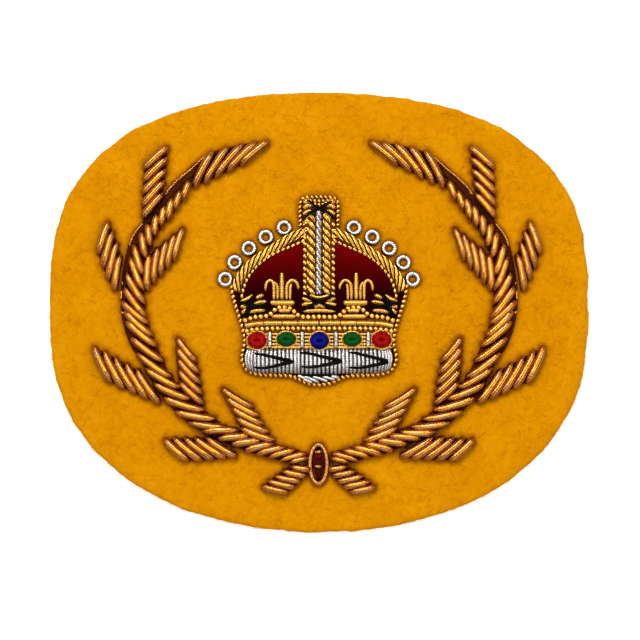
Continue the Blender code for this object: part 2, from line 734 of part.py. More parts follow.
def make_fleurs(material):
    """A fleur each side of the pillar: a post between two hooks, standing on a bar."""
    middle = PAD_SEAT + FLEUR_PURL / 2
    bar_y = fleur_bar_middle()
    for side_name, side in SIDES:
        centre_x = side * -crown_point(FLEUR_SHARE, 0).x
        half_bar = (FLEUR_BAR_WIDTH - FLEUR_PURL) / 2
        paths = [
            [Vector((centre_x - half_bar, bar_y)), Vector((centre_x + half_bar, bar_y))],
            [Vector((centre_x, bar_y)), Vector((centre_x, bar_y + FLEUR_HEIGHT - FLEUR_PURL / 2))],
        ]
        for way in (-1, 1):
            stem_x = centre_x + way * (FLEUR_PURL + SIDE_GAP)
            crook = Vector((stem_x + way * FLEUR_HOOK_RADIUS, bar_y + FLEUR_HEIGHT / 2))
            sweep = arc_points(crook, FLEUR_HOOK_RADIUS, 90 + 90 * way, 90 - 90 * way, 6)
            end = sweep[-1] - Vector((0, FLEUR_PURL * 0.6))
            paths.append([Vector((stem_x, bar_y)), *sweep, end])
        pieces = [tube("fleur_purl", path, FLEUR_PURL, middle, material) for path in paths]
        fuse("fleur_" + side_name, pieces)


def fleur_bar_middle():
    """The fleur's bar stands over the tent that the band's upper purl makes."""
    return band_upper_middle() + TENT_RISE + PEARL_PURL / 2 + SIDE_GAP + FLEUR_PURL / 2


def band_upper_middle():
    return band_middle() + BAND_BAR / 2 + SIDE_GAP + PEARL_PURL / 2


def room_inside_outline(y):
    """Half the width between the two sides of the outline cord, at a height on the badge."""
    share = (y - CROWN_BOTTOM) / CROWN_HEIGHT
    for low, high in zip(BASE_EDGE, BASE_EDGE[1:]):
        if low.y <= share < high.y:
            out = low.x + (high.x - low.x) * (share - low.y) / (high.y - low.y)
            return -crown_point(out, 0).x - PEARL_PURL / 2 - SIDE_GAP
    return 0.0


def drooping(half, y):
    """A line across the crown whose ends droop a little."""
    return [Vector((x * half, y - abs(x) ** 4 * BAND_DROOP)) for x in DROOP_SHARES]


def make_band(material):
    """A long smooth bar between two rows of pearl purl. The upper row makes a tent over each foot."""
    half = room_inside_outline(band_middle())
    fleur_x = -crown_point(FLEUR_SHARE, 0).x
    foot_half = FLEUR_BAR_WIDTH / 2 - FLEUR_PURL
    row = band_upper_middle()
    seat = PAD_SEAT + PEARL_PURL / 2
    inward = [Vector((-(fleur_x - t.out * foot_half), row + t.up * TENT_RISE)) for t in TENT]
    outward = [Vector((-(fleur_x + t.out * foot_half), row + t.up * TENT_RISE)) for t in TENT[-2::-1]]
    left = [Vector((0.0, row)), *inward, *outward, Vector((-half, row - BAND_DROOP))]
    upper = smooth_path(both_sides(left), TENT_STEP * PEARL_PURL)
    tube("band_upper_purl", upper, PEARL_PURL, seat, material)

    lower = drooping(half, band_middle() - BAND_BAR / 2 - SIDE_GAP - PEARL_PURL / 2)
    tube("band_lower_purl", smooth_path(lower, WIRE_STEP * PEARL_PURL), PEARL_PURL, seat, material)

    middle = smooth_path(drooping(half, band_middle()), WIRE_STEP * BAND_BAR)
    pieces = [tube("band_bar", middle, BAND_BAR, PAD_SEAT + BAND_BAR / 2, material)]
    foot_y = band_middle() + BAND_BAR / 2 + PEARL_PURL / 2
    for side in (-1, 1):
        centre_x = side * fleur_x
        line = [Vector((centre_x - foot_half, foot_y)), Vector((centre_x + foot_half, foot_y))]
        pieces.append(tube("foot_bar", line, PEARL_PURL, seat, material))
        outline = rectangle(centre_x - foot_half / 2, centre_x + foot_half / 2, band_middle(), foot_y)
        pieces.append(plate("foot", outline, PAD_SEAT, PAD_SEAT + BACKING_THICKNESS, material))
    fuse("band_bar", pieces)


def bed_top():
    """Where the jewels' bed starts, below the band's lower purl."""
    return band_middle() - BAND_BAR / 2 - PEARL_PURL - BAND_DROOP - 2 * SIDE_GAP


def make_jewels(gold, colours):
    """Padded oval jewels on a gold bed, parted by short upright bars."""
    top = bed_top()
    bottom = top - JEWEL_BED_HEIGHT
    half = room_inside_outline((top + bottom) / 2)
    bed_seat = PAD_SEAT + JEWEL_BED_THICKNESS
    pieces = [plate("bed", rectangle(-half, half, bottom, top), PAD_SEAT, bed_seat, gold)]
    centres = [Vector((place * CROWN_WIDTH / 2, (top + bottom) / 2)) for place in JEWEL_SHARES]
    for one, other in zip(centres, centres[1:]):
        x = (one.x + other.x) / 2
        line = [Vector((x, bottom + BED_BAR)), Vector((x, top - BED_BAR))]
        pieces.append(tube("bed_bar", line, BED_BAR, bed_seat + BED_BAR / 4, gold))
    fuse("jewel_bed", pieces)
    for name, centre, colour in zip(JEWEL_NAMES, centres, colours):
        dome(name, centre, JEWEL_WIDTH, JEWEL_HEIGHT, bed_seat + SEAT_GAP, JEWEL_DOME, colour)


def make_ermine(silver):
    """Upright silver strips along the base, and slanting ones in the drop below them."""
    top = bed_top() - JEWEL_BED_HEIGHT - SIDE_GAP
    middle = top - ERMINE_HEIGHT / 2
    half = room_inside_outline(middle)
    pitch = 2 * half / ERMINE_STRIPS
    strips = []
    for i in range(ERMINE_STRIPS):
        x = -half + pitch * (i + 0.5)
        shorter = ERMINE_CORNER * abs(x / half) ** 8
        strips.append(strip(Vector((x, middle)), 90, ERMINE_HEIGHT * (1 - shorter)))
    strip_field("ermine_band", strips, PAD_SEAT, ERMINE_RELIEF, BROAD_BACK_SHARES, silver)

    low = crown_point(0, 0).y + PEARL_PURL / 2 + SIDE_GAP / 2
    high = middle - ERMINE_HEIGHT / 2 - SIDE_GAP
    half = -crown_point(DROP_SHARE, 0).x
    length = (high - low) / math.sin(math.radians(DROP_LEAN))
    strips = []
    for i in range(DROP_STRIPS):
        x = -half + 2 * half * (i + 0.5) / DROP_STRIPS
        strips.append(strip(Vector((x, (high + low) / 2)), -DROP_LEAN, length))
    strip_field("ermine_drop", strips, PAD_SEAT, ROPE_RELIEF, BROAD_BACK_SHARES, silver)


def make_rings(silver):
    """Rings of silver purl that stand along the outer edge of the arches."""
    edge = smooth_path(edge_points((BASE_EDGE[-2], BASE_EDGE[-1], *ARCH_EDGE))[::-1], RING_WIRE)
    path = offset_path(edge, -(RING_DIAMETER / 2 + SIDE_GAP / 2))
    first = FIRST_RING / path_length(path)
    last = 1 - LAST_RING / path_length(path)
    loop_radius = (RING_DIAMETER - RING_WIRE) / 2
    number = 0
    for _, side in SIDES:
        for i in range(RINGS_A_SIDE):
            centre = point_along(path, first + (last - first) * i / (RINGS_A_SIDE - 1))
            if side > 0:
                centre.x = -centre.x
            loop = arc_points(centre, loop_radius, 0, 360, RING_SIDES)[:-1]
            number += 1
            name = f"ring_{number:02d}"
            middle = FELT_SEAT + RING_WIRE / 2
            tube(name, loop, RING_WIRE, middle, silver, sides=RING_WIRE_SIDES, closed=True)


def main():
    clear_scene()
    felt = make_material("mustard_felt", (0.76, 0.34, 0.008), 0.95, 0.0)
    old_gold = make_material("old_gold_bullion", (0.55, 0.27, 0.07), 0.38, 1.0)
    bright_gold = make_material("bright_gold_purl", (0.78, 0.50, 0.10), 0.32, 1.0)
    silver = make_material("silver_purl", (0.78, 0.78, 0.80), 0.32, 1.0)
    velvet = make_material("crimson_velvet", (0.16, 0.002, 0.006), 0.9, 0.0)
    maroon = make_material("maroon_thread", (0.10, 0.008, 0.006), 0.7, 0.0)
    red = make_material("red_silk", (0.55, 0.005, 0.008), 0.45, 0.0)
    green = make_material("green_silk", (0.004, 0.16, 0.03), 0.45, 0.0)
    blue = make_material("blue_silk", (0.008, 0.015, 0.35), 0.45, 0.0)

    make_felt(felt)
    make_leaves(old_gold)
    make_stems(old_gold, maroon)
    make_tie(old_gold, maroon)
    make_crown_pad(velvet)
    make_outline(bright_gold)
    make_arches(bright_gold)
    make_pillar(bright_gold, silver)
    make_crosses(bright_gold)
    make_fleurs(bright_gold)
    make_band(bright_gold)
    make_jewels(bright_gold, (red, green, blue, green, red))
    make_ermine(silver)
    make_rings(silver)


main()
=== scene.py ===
# %% [markdown]
# # A crown in a laurel wreath, worked in bullion wire on felt
#
# The real badge is hand embroidery. Coiled gold wire, called bullion or purl, is cut in short lengths,
# threaded on a needle like a bead and laid over soft padding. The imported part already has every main
# shape at its true place and size. This file dresses it: the wires get their coils, the cords their
# twist and the felt its nap.
#
# Everything is in metres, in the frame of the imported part: the badge lies on its back, its face looks
# up, and the top of the crown points to +Y.

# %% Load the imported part
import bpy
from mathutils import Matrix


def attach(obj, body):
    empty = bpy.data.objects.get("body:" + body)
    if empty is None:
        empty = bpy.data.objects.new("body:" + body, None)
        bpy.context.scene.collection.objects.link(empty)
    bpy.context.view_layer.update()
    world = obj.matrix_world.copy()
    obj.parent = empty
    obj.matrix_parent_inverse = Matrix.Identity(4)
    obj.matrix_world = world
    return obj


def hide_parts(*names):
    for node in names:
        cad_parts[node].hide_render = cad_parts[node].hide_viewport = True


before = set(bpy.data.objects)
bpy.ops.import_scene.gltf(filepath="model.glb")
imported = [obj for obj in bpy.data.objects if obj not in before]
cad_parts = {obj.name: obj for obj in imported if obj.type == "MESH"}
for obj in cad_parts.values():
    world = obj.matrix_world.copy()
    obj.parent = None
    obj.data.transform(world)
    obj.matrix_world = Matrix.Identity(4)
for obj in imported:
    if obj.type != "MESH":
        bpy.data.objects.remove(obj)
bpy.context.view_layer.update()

# %% Tools and the scale
import math
import random
from collections import namedtuple

import bmesh
import bpy
from mathutils import Vector, kdtree, noise

MM = 0.001
SIDES = (("left", -1), ("right", 1))
random.seed(7)


def show(name, data):
    """A new object in the scene, at the origin, for a mesh, a lamp or a camera."""
    made = bpy.data.objects.new(name, data)
    bpy.context.scene.collection.objects.link(made)
    return made


# %% [markdown]
# ## Places on the badge
#
# The photo is taken straight from above, so a pixel is a place on the badge. One pixel is the width of
# the view divided by 640. The crown and the wreath stand on the line x = 0, which the photo has at
# column 319, and the middle of the felt is at row 312.5. Small pieces are placed by the pixel where the
# photo shows them, and always at the height of what carries them.

# %% From a pixel to a place
PHOTO_SIDE = 640
VIEW_WIDTH = 99.56 * MM
PIXEL = VIEW_WIDTH / PHOTO_SIDE
AXIS_COLUMN = 319.0
MIDDLE_ROW = 312.5


def spot(column, row, height=0.0):
    """The place on the badge that the photo shows at a pixel."""
    return Vector(((column - AXIS_COLUMN) * PIXEL, (MIDDLE_ROW - row) * PIXEL, height))


def twin(points):
    """The same points on the other side of the line x = 0."""
    return [Vector((-p.x, p.y, p.z)) for p in points]


def on_side(points, side):
    """Points of the left half as they are, or their twins where side is 1."""
    return points if side < 0 else twin(points)


print("One pixel is", round(1000 * PIXEL, 4), "mm")

# %% [markdown]
# ## Camera, light and floor
#
# A flat thing photographed from straight above needs a long lens: the camera stands far away, so that
# the raised wires don't lean outwards. Bullion looks like metal only when it mirrors something, so one
# soft light stands beyond the top of the badge, and weaker ones stand round its other sides. Between
# them the wires mirror a dimmer room, which draws a dark line down the middle of each wire.

# %% Camera
CAMERA_HEIGHT = 0.9
FACE_HEIGHT = 2.6 * MM

camera_data = bpy.data.cameras.new("photo_camera")
camera_data.sensor_width = 36.0
camera_data.lens = camera_data.sensor_width * CAMERA_HEIGHT / VIEW_WIDTH
camera = show("photo_camera", camera_data)
camera.location = spot(PHOTO_SIDE / 2, PHOTO_SIDE / 2, FACE_HEIGHT + CAMERA_HEIGHT)
bpy.context.scene.camera = camera
print("The lens is", round(camera_data.lens), "mm long")

# %% Lights
LIGHT_SIZE = 0.20
LIGHTS = (
    ("key_light", (-0.05, 0.31, 0.49), 2.22),
    ("left_light", (-0.34, 0.05, 0.44), 0.72),
    ("right_light", (0.34, 0.05, 0.44), 0.72),
    ("low_light", (0.05, -0.33, 0.45), 0.46),
)
ROOM_STRENGTH = 0.42

for name, where, power in LIGHTS:
    data = bpy.data.lights.new(name, "AREA")
    data.size = LIGHT_SIZE
    data.energy = power
    light = show(name, data)
    light.location = where
    light.rotation_mode = "QUATERNION"
    light.rotation_quaternion = (-Vector(where)).to_track_quat("-Z", "Y")

world = bpy.data.worlds.new("room")
world.use_nodes = True
room = world.node_tree.nodes["Background"]
room.inputs["Color"].default_value = (1.0, 1.0, 1.0, 1.0)
room.inputs["Strength"].default_value = ROOM_STRENGTH
bpy.context.scene.world = world
bpy.context.scene.view_settings.view_transform = "Standard"
print(len(LIGHTS), "soft lights and a pale room")

# %% [markdown]
# ## Finishes
#
# Every finish is one material made of nodes. A short helper writes them: it makes the shader, sets what
# is the same all over straight on the shader's sockets, and leaves the base colour and the bump to be
# worked out per finish. The first helpers serve the trees of Geometry Nodes as well.


# %% Helpers for all node trees
def add(tree, kind, **settings):
    """A new node with some of its settings."""
    made = tree.nodes.new(kind)
    for key, value in settings.items():
        setattr(made, key, value)
    return made


def join(tree, start, end):
    """Links two sockets, or sets the second one when the first is a plain value."""
    if isinstance(start, bpy.types.NodeSocket):
        tree.links.new(start, end)
    else:
        end.default_value = start


def feed(tree, kind, *given, **settings):
    """A new node whose first inputs get these sockets or values in order. Returns its first output."""
    made = add(tree, kind, **settings)
    for start, end in zip(given, made.inputs):
        join(tree, start, end)
    return made.outputs[0]


def calc(tree, operation, *given):
    """A Math node."""
    return feed(tree, "ShaderNodeMath", *given, operation=operation)


def parts_of(tree, vector):
    """The outputs X, Y and Z of a vector."""
    return feed(tree, "ShaderNodeSeparateXYZ", vector).node.outputs


def vector_of(tree, x=0.0, y=0.0, z=0.0):
    """A vector from three sockets or numbers."""
    return feed(tree, "ShaderNodeCombineXYZ", x, y, z)


# %% Helpers for finishes
def blank_material(name, metallic, roughness, **sockets):
    """A material with a plain Principled shader, and the shader itself."""
    material = bpy.data.materials.new(name)
    material.use_nodes = True
    shader = material.node_tree.nodes["Principled BSDF"]
    for key, value in {"Metallic": metallic, "Roughness": roughness, **sockets}.items():
        shader.inputs[key.replace("_", " ")].default_value = value
    return material, shader


def carried(tree, name):
    """A value that the mesh carries under this name."""
    return add(tree, "ShaderNodeAttribute", attribute_name=name).outputs["Fac"]


def stretch(tree, value, low, high, kind="LINEAR"):
    """Stretches a value so that low becomes 0 and high becomes 1, and holds it between them."""
    return feed(tree, "ShaderNodeMapRange", value, low, high, interpolation_type=kind)


def speckle(tree, scale, detail=3.0, low=0.3, high=0.7):
    """Noise in the object's own coordinates, from 0 to 1. scale is in patches a metre."""
    place = add(tree, "ShaderNodeTexCoord")
    texture = add(tree, "ShaderNodeTexNoise")
    texture.inputs["Scale"].default_value = scale
    texture.inputs["Detail"].default_value = detail
    join(tree, place.outputs["Object"], texture.inputs["Vector"])
    return stretch(tree, texture.outputs["Fac"], low, high)


def ramp(tree, factor, stops):
    """A colour ramp from (position, colour) stops."""
    made = add(tree, "ShaderNodeValToRGB")
    while len(made.color_ramp.elements) < len(stops):
        made.color_ramp.elements.new(0.5)
    for element, (position, colour) in zip(made.color_ramp.elements, stops):
        element.position = position
        element.color = (*colour, 1.0)
    join(tree, factor, made.inputs["Fac"])
    return made.outputs["Color"]


def blend_colours(tree, kind, factor, first, second):
    """Mixes two colours, each a socket or three numbers."""
    made = add(tree, "ShaderNodeMix", data_type="RGBA", blend_type=kind)
    for given, socket in zip((factor, first, second), (made.inputs[0], made.inputs[6], made.inputs[7])):
        join(tree, (*given, 1.0) if isinstance(given, tuple) else given, socket)
    return made.outputs[2]


def roughen(tree, shader, height, depth):
    """Bumps of a real depth in metres, from a height socket."""
    bump = add(tree, "ShaderNodeBump")
    bump.inputs["Distance"].default_value = depth
    join(tree, height, bump.inputs["Height"])
    join(tree, bump.outputs["Normal"], shader.inputs["Normal"])


# %% [markdown]
# ### Gold and silver wire
#
# A coil of polished wire is bright on top and dark down its sides, where it mirrors its neighbours.
# The base colour paints that light and shade in: a ramp on the upward part of the object's own normal
# gives a painted highlight on top and painted shade down the sides. The wires carry two values of
# their own, made with their shape: valley, which is 1 between two coils, where the finish paints
# shade, and tone, a small chance difference from one cut length to the next. The wreath's purl is
# coiled so finely that its turns are a bump, and they draw each light out into a line along the strip.

# %% Wire finishes
TARNISH_PATCHES = 1500
TARNISH_SHARE = 0.55
SCRATCH_PATCHES = 9000
SCRATCH_DEPTH = 0.004 * MM
FINE_DEPTH = 0.12


def wire_material(name, stops, roughness, valley_shade, tone_range, tarnish, fine_pitch=None):
    """Coiled wire: painted light on top, painted shade on its sides and between coils, and a little tarnish.
    """
    material, shader = blank_material(name, 1.0, roughness, Coat_Weight=0.85, Coat_Roughness=0.18)
    tree = material.node_tree
    place = add(tree, "ShaderNodeTexCoord")
    # The ramp on the normal's upward part paints light on top and shade down the sides.
    colour = ramp(tree, parts_of(tree, place.outputs["Normal"])["Z"], stops)

    tone = carried(tree, "tone")
    light = feed(tree, "ShaderNodeMapRange", tone, 0.0, 1.0, 1.0 - tone_range, 1.0 + tone_range)
    # Painted shade between the coils, where valley is 1.
    shade = calc(tree, "MULTIPLY_ADD", carried(tree, "valley"), -valley_shade, 1.0)
    level = calc(tree, "MULTIPLY", light, shade)
    grey = feed(tree, "ShaderNodeCombineColor", level, level, level)
    colour = blend_colours(tree, "MULTIPLY", 1.0, colour, grey)

    spots = calc(tree, "MULTIPLY", speckle(tree, TARNISH_PATCHES, low=0.52, high=0.75), TARNISH_SHARE)
    colour = blend_colours(tree, "MIX", spots, colour, tarnish)
    join(tree, colour, shader.inputs["Base Color"])
    if fine_pitch:
        wave = calc(tree, "SINE", calc(tree, "MULTIPLY", carried(tree, "along"), 2 * math.pi / fine_pitch))
        roughen(tree, shader, calc(tree, "MULTIPLY_ADD", wave, 0.5, 0.5), FINE_DEPTH * fine_pitch)
    else:
        roughen(tree, shader, speckle(tree, SCRATCH_PATCHES), SCRATCH_DEPTH)
    return material


# Each ramp runs from the painted shade of a wire's sides, at 0, to its painted highlight on top, at 1.
OLD_GOLD = wire_material(
    "old_gold_wire",
    [(0.0, (0.055, 0.004, 0.0002)), (0.36, (0.26, 0.050, 0.0008)),
     (0.68, (0.43, 0.122, 0.0025)), (1.0, (0.64, 0.250, 0.012))],
    roughness=0.17, valley_shade=0.50, tone_range=0.14, tarnish=(0.24, 0.05, 0.006), fine_pitch=0.13 * MM,
)
BRIGHT_GOLD = wire_material(
    "bright_gold_wire",
    [(0.0, (0.16, 0.044, 0.0004)), (0.18, (0.50, 0.220, 0.003)),
     (0.45, (0.88, 0.430, 0.012)), (0.90, (0.97, 0.490, 0.040))],
    roughness=0.26, valley_shade=0.74, tone_range=0.10, tarnish=(0.34, 0.12, 0.010),
)
SILVER = wire_material(
    "silver_wire",
    [(0.0, (0.05, 0.04, 0.035)), (0.36, (0.26, 0.24, 0.23)),
     (0.66, (0.66, 0.62, 0.60)), (1.0, (0.78, 0.74, 0.71))],
    roughness=0.24, valley_shade=0.60, tone_range=0.12, tarnish=(0.34, 0.31, 0.29),
)
print("Three kinds of wire")

# %% [markdown]
# ### Threads and cloths
#
# The padding under the gold, the black stitches and the silk of the jewels are thread: dyed fibre, never
# quite even in colour, with a faint roughness. Velvet is darker where it is looked at straight on, and
# catches light where its pile leans, which is what the sheen of the shader is for. Its colour is painted
# as well: painted light where its surface tilts towards the top of the badge and near the arches, painted
# shade down towards the low wires. Felt has no weave at all, only a short tangled nap, so its colour
# wanders in soft patches with small pits between. Close to the stitching it is painted a red brown as a
# contact shadow, and a stored value carries that painted shadow.


# %% Thread finishes
def thread_material(name, dark, light, roughness=0.60, coat=0.0):
    """Dyed thread. Each has a tone of its own between two shades, and fine patches wander round it."""
    material, shader = blank_material(
        name, 0.0, roughness, Coat_Weight=coat, Coat_Roughness=0.2, Specular_IOR_Level=0.05,
    )
    tree = material.node_tree
    tone = calc(tree, "MULTIPLY", carried(tree, "tone"), 0.55)
    mixed = calc(tree, "MULTIPLY_ADD", speckle(tree, 2600), 0.45, tone)
    join(tree, blend_colours(tree, "MIX", mixed, dark, light), shader.inputs["Base Color"])
    roughen(tree, shader, speckle(tree, 14000), 0.02 * MM)
    return material


MAROON = thread_material("maroon_thread", (0.030, 0.0012, 0.0003), (0.105, 0.0075, 0.0012))
BROWN = thread_material("brown_thread", (0.034, 0.0044, 0.0002), (0.130, 0.030, 0.0008))
GREY = thread_material("grey_thread", (0.055, 0.048, 0.043), (0.19, 0.170, 0.155))
BLACK = thread_material("black_thread", (0.0008, 0.0008, 0.0007), (0.0035, 0.0035, 0.003), 0.65)
RED = thread_material("red_silk", (0.120, 0.0001, 0.0002), (0.44, 0.0010, 0.0010), 0.34, 0.05)
GREEN = thread_material("green_silk", (0.0001, 0.022, 0.0020), (0.0008, 0.100, 0.011), 0.34, 0.05)
BLUE = thread_material("blue_silk", (0.0001, 0.0008, 0.055), (0.0008, 0.0045, 0.23), 0.34, 0.05)
print("Seven dyed threads")

# %% Felt
# The red brown of the painted contact shadow round the stitching.
CONTACT_SHADE_COLOUR = (0.210, 0.030, 0.0004)


def felt_material(name, dark, middle, light):
    """Wool felt: wide soft patches, small pits, a nap of tangled fibres and a painted contact shadow."""
    material, shader = blank_material(name, 0.0, 1.0, Specular_IOR_Level=0.0)
    tree = material.node_tree
    patches = calc(tree, "MULTIPLY", speckle(tree, 210, 4.0, 0.25, 0.75), 0.55)
    nap = calc(tree, "MULTIPLY_ADD", speckle(tree, 1300, 5.0), 0.45, patches)
    nap = calc(tree, "MULTIPLY_ADD", carried(tree, "tone"), 0.25, nap)
    colour = ramp(tree, nap, [(0.0, dark), (0.5, middle), (1.0, light)])
    # Painted contact shadow close to the stitching.
    colour = blend_colours(tree, "MIX", carried(tree, "contact_shade"), colour, CONTACT_SHADE_COLOUR)
    join(tree, colour, shader.inputs["Base Color"])
    pits = calc(tree, "MULTIPLY", speckle(tree, 4200, 3.0), 0.5)
    roughen(tree, shader, calc(tree, "ADD", speckle(tree, 900, 5.0), pits), 0.10 * MM)
    return material


FELT = felt_material("mustard_felt", (0.49, 0.175, 0.0004), (0.56, 0.214, 0.0006), (0.63, 0.262, 0.0020))
print("Felt")

# %% Velvet
# Rows between which the velvet's colour goes from painted shade at the bottom to painted light near the
# arches.
VELVET_SHADE_LINE = spot(0, 302).y
VELVET_LIT_LINE = spot(0, 235).y


def velvet_material(name, shaded, lit):
    """Velvet: painted shade by the low wires, painted light near the arches and on top-facing slopes, a
    sheen.
    """
    material, shader = blank_material(
        name, 0.0, 0.85, Specular_IOR_Level=0.0,
        Sheen_Weight=0.25, Sheen_Roughness=0.35, Sheen_Tint=(0.75, 0.01, 0.02, 1.0),
    )
    tree = material.node_tree
    place = add(tree, "ShaderNodeTexCoord")
    # Painted light where the surface tilts towards the top of the badge.
    lean = stretch(tree, parts_of(tree, place.outputs["Normal"])["Y"], -0.25, 0.30)
    mixed = calc(tree, "MULTIPLY_ADD", speckle(tree, 3500), 0.15, calc(tree, "MULTIPLY", lean, 0.5))
    # Painted shade that deepens down towards the low wires.
    height = parts_of(tree, place.outputs["Object"])["Y"]
    rise = stretch(tree, height, VELVET_SHADE_LINE, VELVET_LIT_LINE, "SMOOTHSTEP")
    mixed = calc(tree, "MULTIPLY", calc(tree, "ADD", mixed, 0.45), rise)
    join(tree, blend_colours(tree, "MIX", mixed, shaded, lit), shader.inputs["Base Color"])
    roughen(tree, shader, speckle(tree, 9000), 0.03 * MM)
    return material


# The shaded colour and the lit colour of one velvet.
VELVET = velvet_material("crimson_velvet", (0.015, 0.0002, 0.0003), (0.150, 0.0010, 0.0016))
print("Velvet")

# %% [markdown]
# ## A coil of wire, as a Geometry Nodes tree
#
# Almost everything here is a length of coiled wire laid along a line: a strip of a leaf, a ring, a post
# of the crown. So one tree makes them all. It takes plain edges, turns them into curves, puts four
# rings of points on each turn of the coil, and sweeps a circle whose size rises and falls with the
# turns. The ends narrow, because the wire dives into the cloth there. The tree also stores how deep in
# a coil each point is, and how far along the wire, for the finish.


# %% Helpers for Geometry Nodes
def new_tree(name, inputs):
    """A tree with a geometry input, the named inputs, and a geometry output."""
    tree = bpy.data.node_groups.new(name, "GeometryNodeTree")
    face = tree.interface
    face.new_socket("Geometry", in_out="INPUT", socket_type="NodeSocketGeometry")
    for label, kind in inputs.items():
        face.new_socket(label, in_out="INPUT", socket_type="NodeSocket" + kind)
    face.new_socket("Geometry", in_out="OUTPUT", socket_type="NodeSocketGeometry")
    return tree, add(tree, "NodeGroupInput").outputs, add(tree, "NodeGroupOutput").inputs


def step(tree, kind, geometry, settings=None, **inputs):
    """A node that the geometry passes through. Inputs are sockets or values, by name."""
    made = add(tree, kind, **(settings or {}))
    join(tree, geometry, made.inputs[0])
    for label, given in inputs.items():
        join(tree, given, made.inputs[label.replace("_", " ")])
    return made.outputs[0]


def resample(tree, line, spacing):
    """Even points along curves."""
    return step(tree, "GeometryNodeResampleCurve", line, {"mode": "LENGTH"}, Length=spacing)


def store(tree, geometry, name, value, domain="POINT"):
    """Keeps a value on the geometry under a name."""
    settings = {"data_type": "FLOAT", "domain": domain}
    return step(tree, "GeometryNodeStoreNamedAttribute", geometry, settings, Name=name, Value=value)


def sweep(tree, line, sides, radius):
    """Sweeps a circle of this radius along curves and closes their ends."""
    circle = add(tree, "GeometryNodeCurvePrimitiveCircle", mode="RADIUS")
    circle.inputs["Radius"].default_value = 1.0
    join(tree, sides, circle.inputs["Resolution"])
    return step(tree, "GeometryNodeCurveToMesh", line, None,
                Profile_Curve=circle.outputs["Curve"], Scale=radius, Fill_Caps=True)


def chance(tree, low=0.0, high=1.0):
    """A chance number for each element, the same in every run."""
    made = add(tree, "FunctionNodeRandomValue", data_type="FLOAT")
    made.inputs[2].default_value = low
    made.inputs[3].default_value = high
    return made.outputs[1]


def grow(name, base, tree, values):
    """Runs a tree on an object and keeps the result as a plain mesh at the origin."""
    modifier = base.modifiers.new("grow", "NODES")
    modifier.node_group = tree
    for item in tree.interface.items_tree:
        if item.in_out == "INPUT" and item.name in values:
            modifier[item.identifier] = values[item.name]
    evaluated = base.evaluated_get(bpy.context.evaluated_depsgraph_get())
    mesh = bpy.data.meshes.new_from_object(evaluated)
    base.modifiers.remove(modifier)
    bpy.data.objects.remove(base)
    mesh.name = name
    return show(name, mesh)


# %% The tree for coiled wire
POINTS_A_TURN = 4
NARROWEST = 0.25


def coiled_wire_tree():
    """A swept circle that swells and shrinks with the turns of a coil, and narrows at its ends."""
    tree, given, out = new_tree("Coiled wire", {
        "Sides": "Int", "Coil Pitch": "Float", "Coil Depth": "Float",
        "Taper": "Float", "Fullness": "Float", "Material": "Material",
    })
    line = step(tree, "GeometryNodeMeshToCurve", given["Geometry"])
    line = resample(tree, line, calc(tree, "DIVIDE", given["Coil Pitch"], POINTS_A_TURN))

    along = add(tree, "GeometryNodeSplineParameter")
    from_middle = calc(tree, "ABSOLUTE", calc(tree, "MULTIPLY_ADD", along.outputs["Factor"], 2.0, -1.0))
    narrowing = calc(tree, "SUBTRACT", 1.0, calc(tree, "POWER", from_middle, given["Fullness"]))
    narrowing = calc(tree, "MAXIMUM", calc(tree, "SQRT", narrowing), NARROWEST)
    narrowing = calc(tree, "MULTIPLY_ADD", calc(tree, "SUBTRACT", narrowing, 1.0), given["Taper"], 1.0)

    turn = calc(tree, "MULTIPLY", along.outputs["Index"], 2 * math.pi / POINTS_A_TURN)
    valley = calc(tree, "MULTIPLY_ADD", calc(tree, "COSINE", turn), -0.5, 0.5)
    coil = calc(tree, "SUBTRACT", 1.0, calc(tree, "MULTIPLY", valley, given["Coil Depth"]))
    is_coiled = calc(tree, "MINIMUM", calc(tree, "MULTIPLY", given["Coil Depth"], 15.0), 1.0)
    half = add(tree, "GeometryNodeInputNamedAttribute", data_type="FLOAT")
    half.inputs["Name"].default_value = "half"
    radius = calc(tree, "MULTIPLY", calc(tree, "MULTIPLY", half.outputs["Attribute"], narrowing), coil)

    # The finish paints shade where valley is 1, between two coils.
    line = store(tree, line, "valley", calc(tree, "MULTIPLY", valley, is_coiled))
    line = store(tree, line, "along", along.outputs["Length"])
    wire = step(tree, "GeometryNodeSetShadeSmooth", sweep(tree, line, given["Sides"], radius))
    wire = step(tree, "GeometryNodeRealizeInstances", wire)
    join(tree, step(tree, "GeometryNodeSetMaterial", wire, None, Material=given["Material"]), out["Geometry"])
    return tree


COILED_WIRE = coiled_wire_tree()
print("The coiled wire tree has", len(COILED_WIRE.nodes), "nodes")

# %% From lines to a piece
Line = namedtuple("Line", "points half tone closed")


def wire_line(points, half, tone=None, closed=False):
    """A length of wire: its middle line, half its width, which may change along it, and its tone."""
    halves = list(half) if hasattr(half, "__len__") else [half] * len(points)
    return Line(points, halves, random.random() if tone is None else tone, closed)


def edges_object(lines):
    """An object of plain edges that carries the width and tone of each line."""
    points, edges, halves, tones = [], [], [], []
    for line in lines:
        first = len(points)
        points += [tuple(p) for p in line.points]
        halves += line.half
        tones += [line.tone] * len(line.points)
        edges += [(first + i, first + i + 1) for i in range(len(line.points) - 1)]
        if line.closed:
            edges.append((len(points) - 1, first))
    mesh = bpy.data.meshes.new("lines")
    mesh.from_pydata(points, edges, [])
    for label, values in (("half", halves), ("tone", tones)):
        mesh.attributes.new(label, "FLOAT", "POINT").data.foreach_set("value", values)
    return show("lines", mesh)


COIL = 0.30 * MM


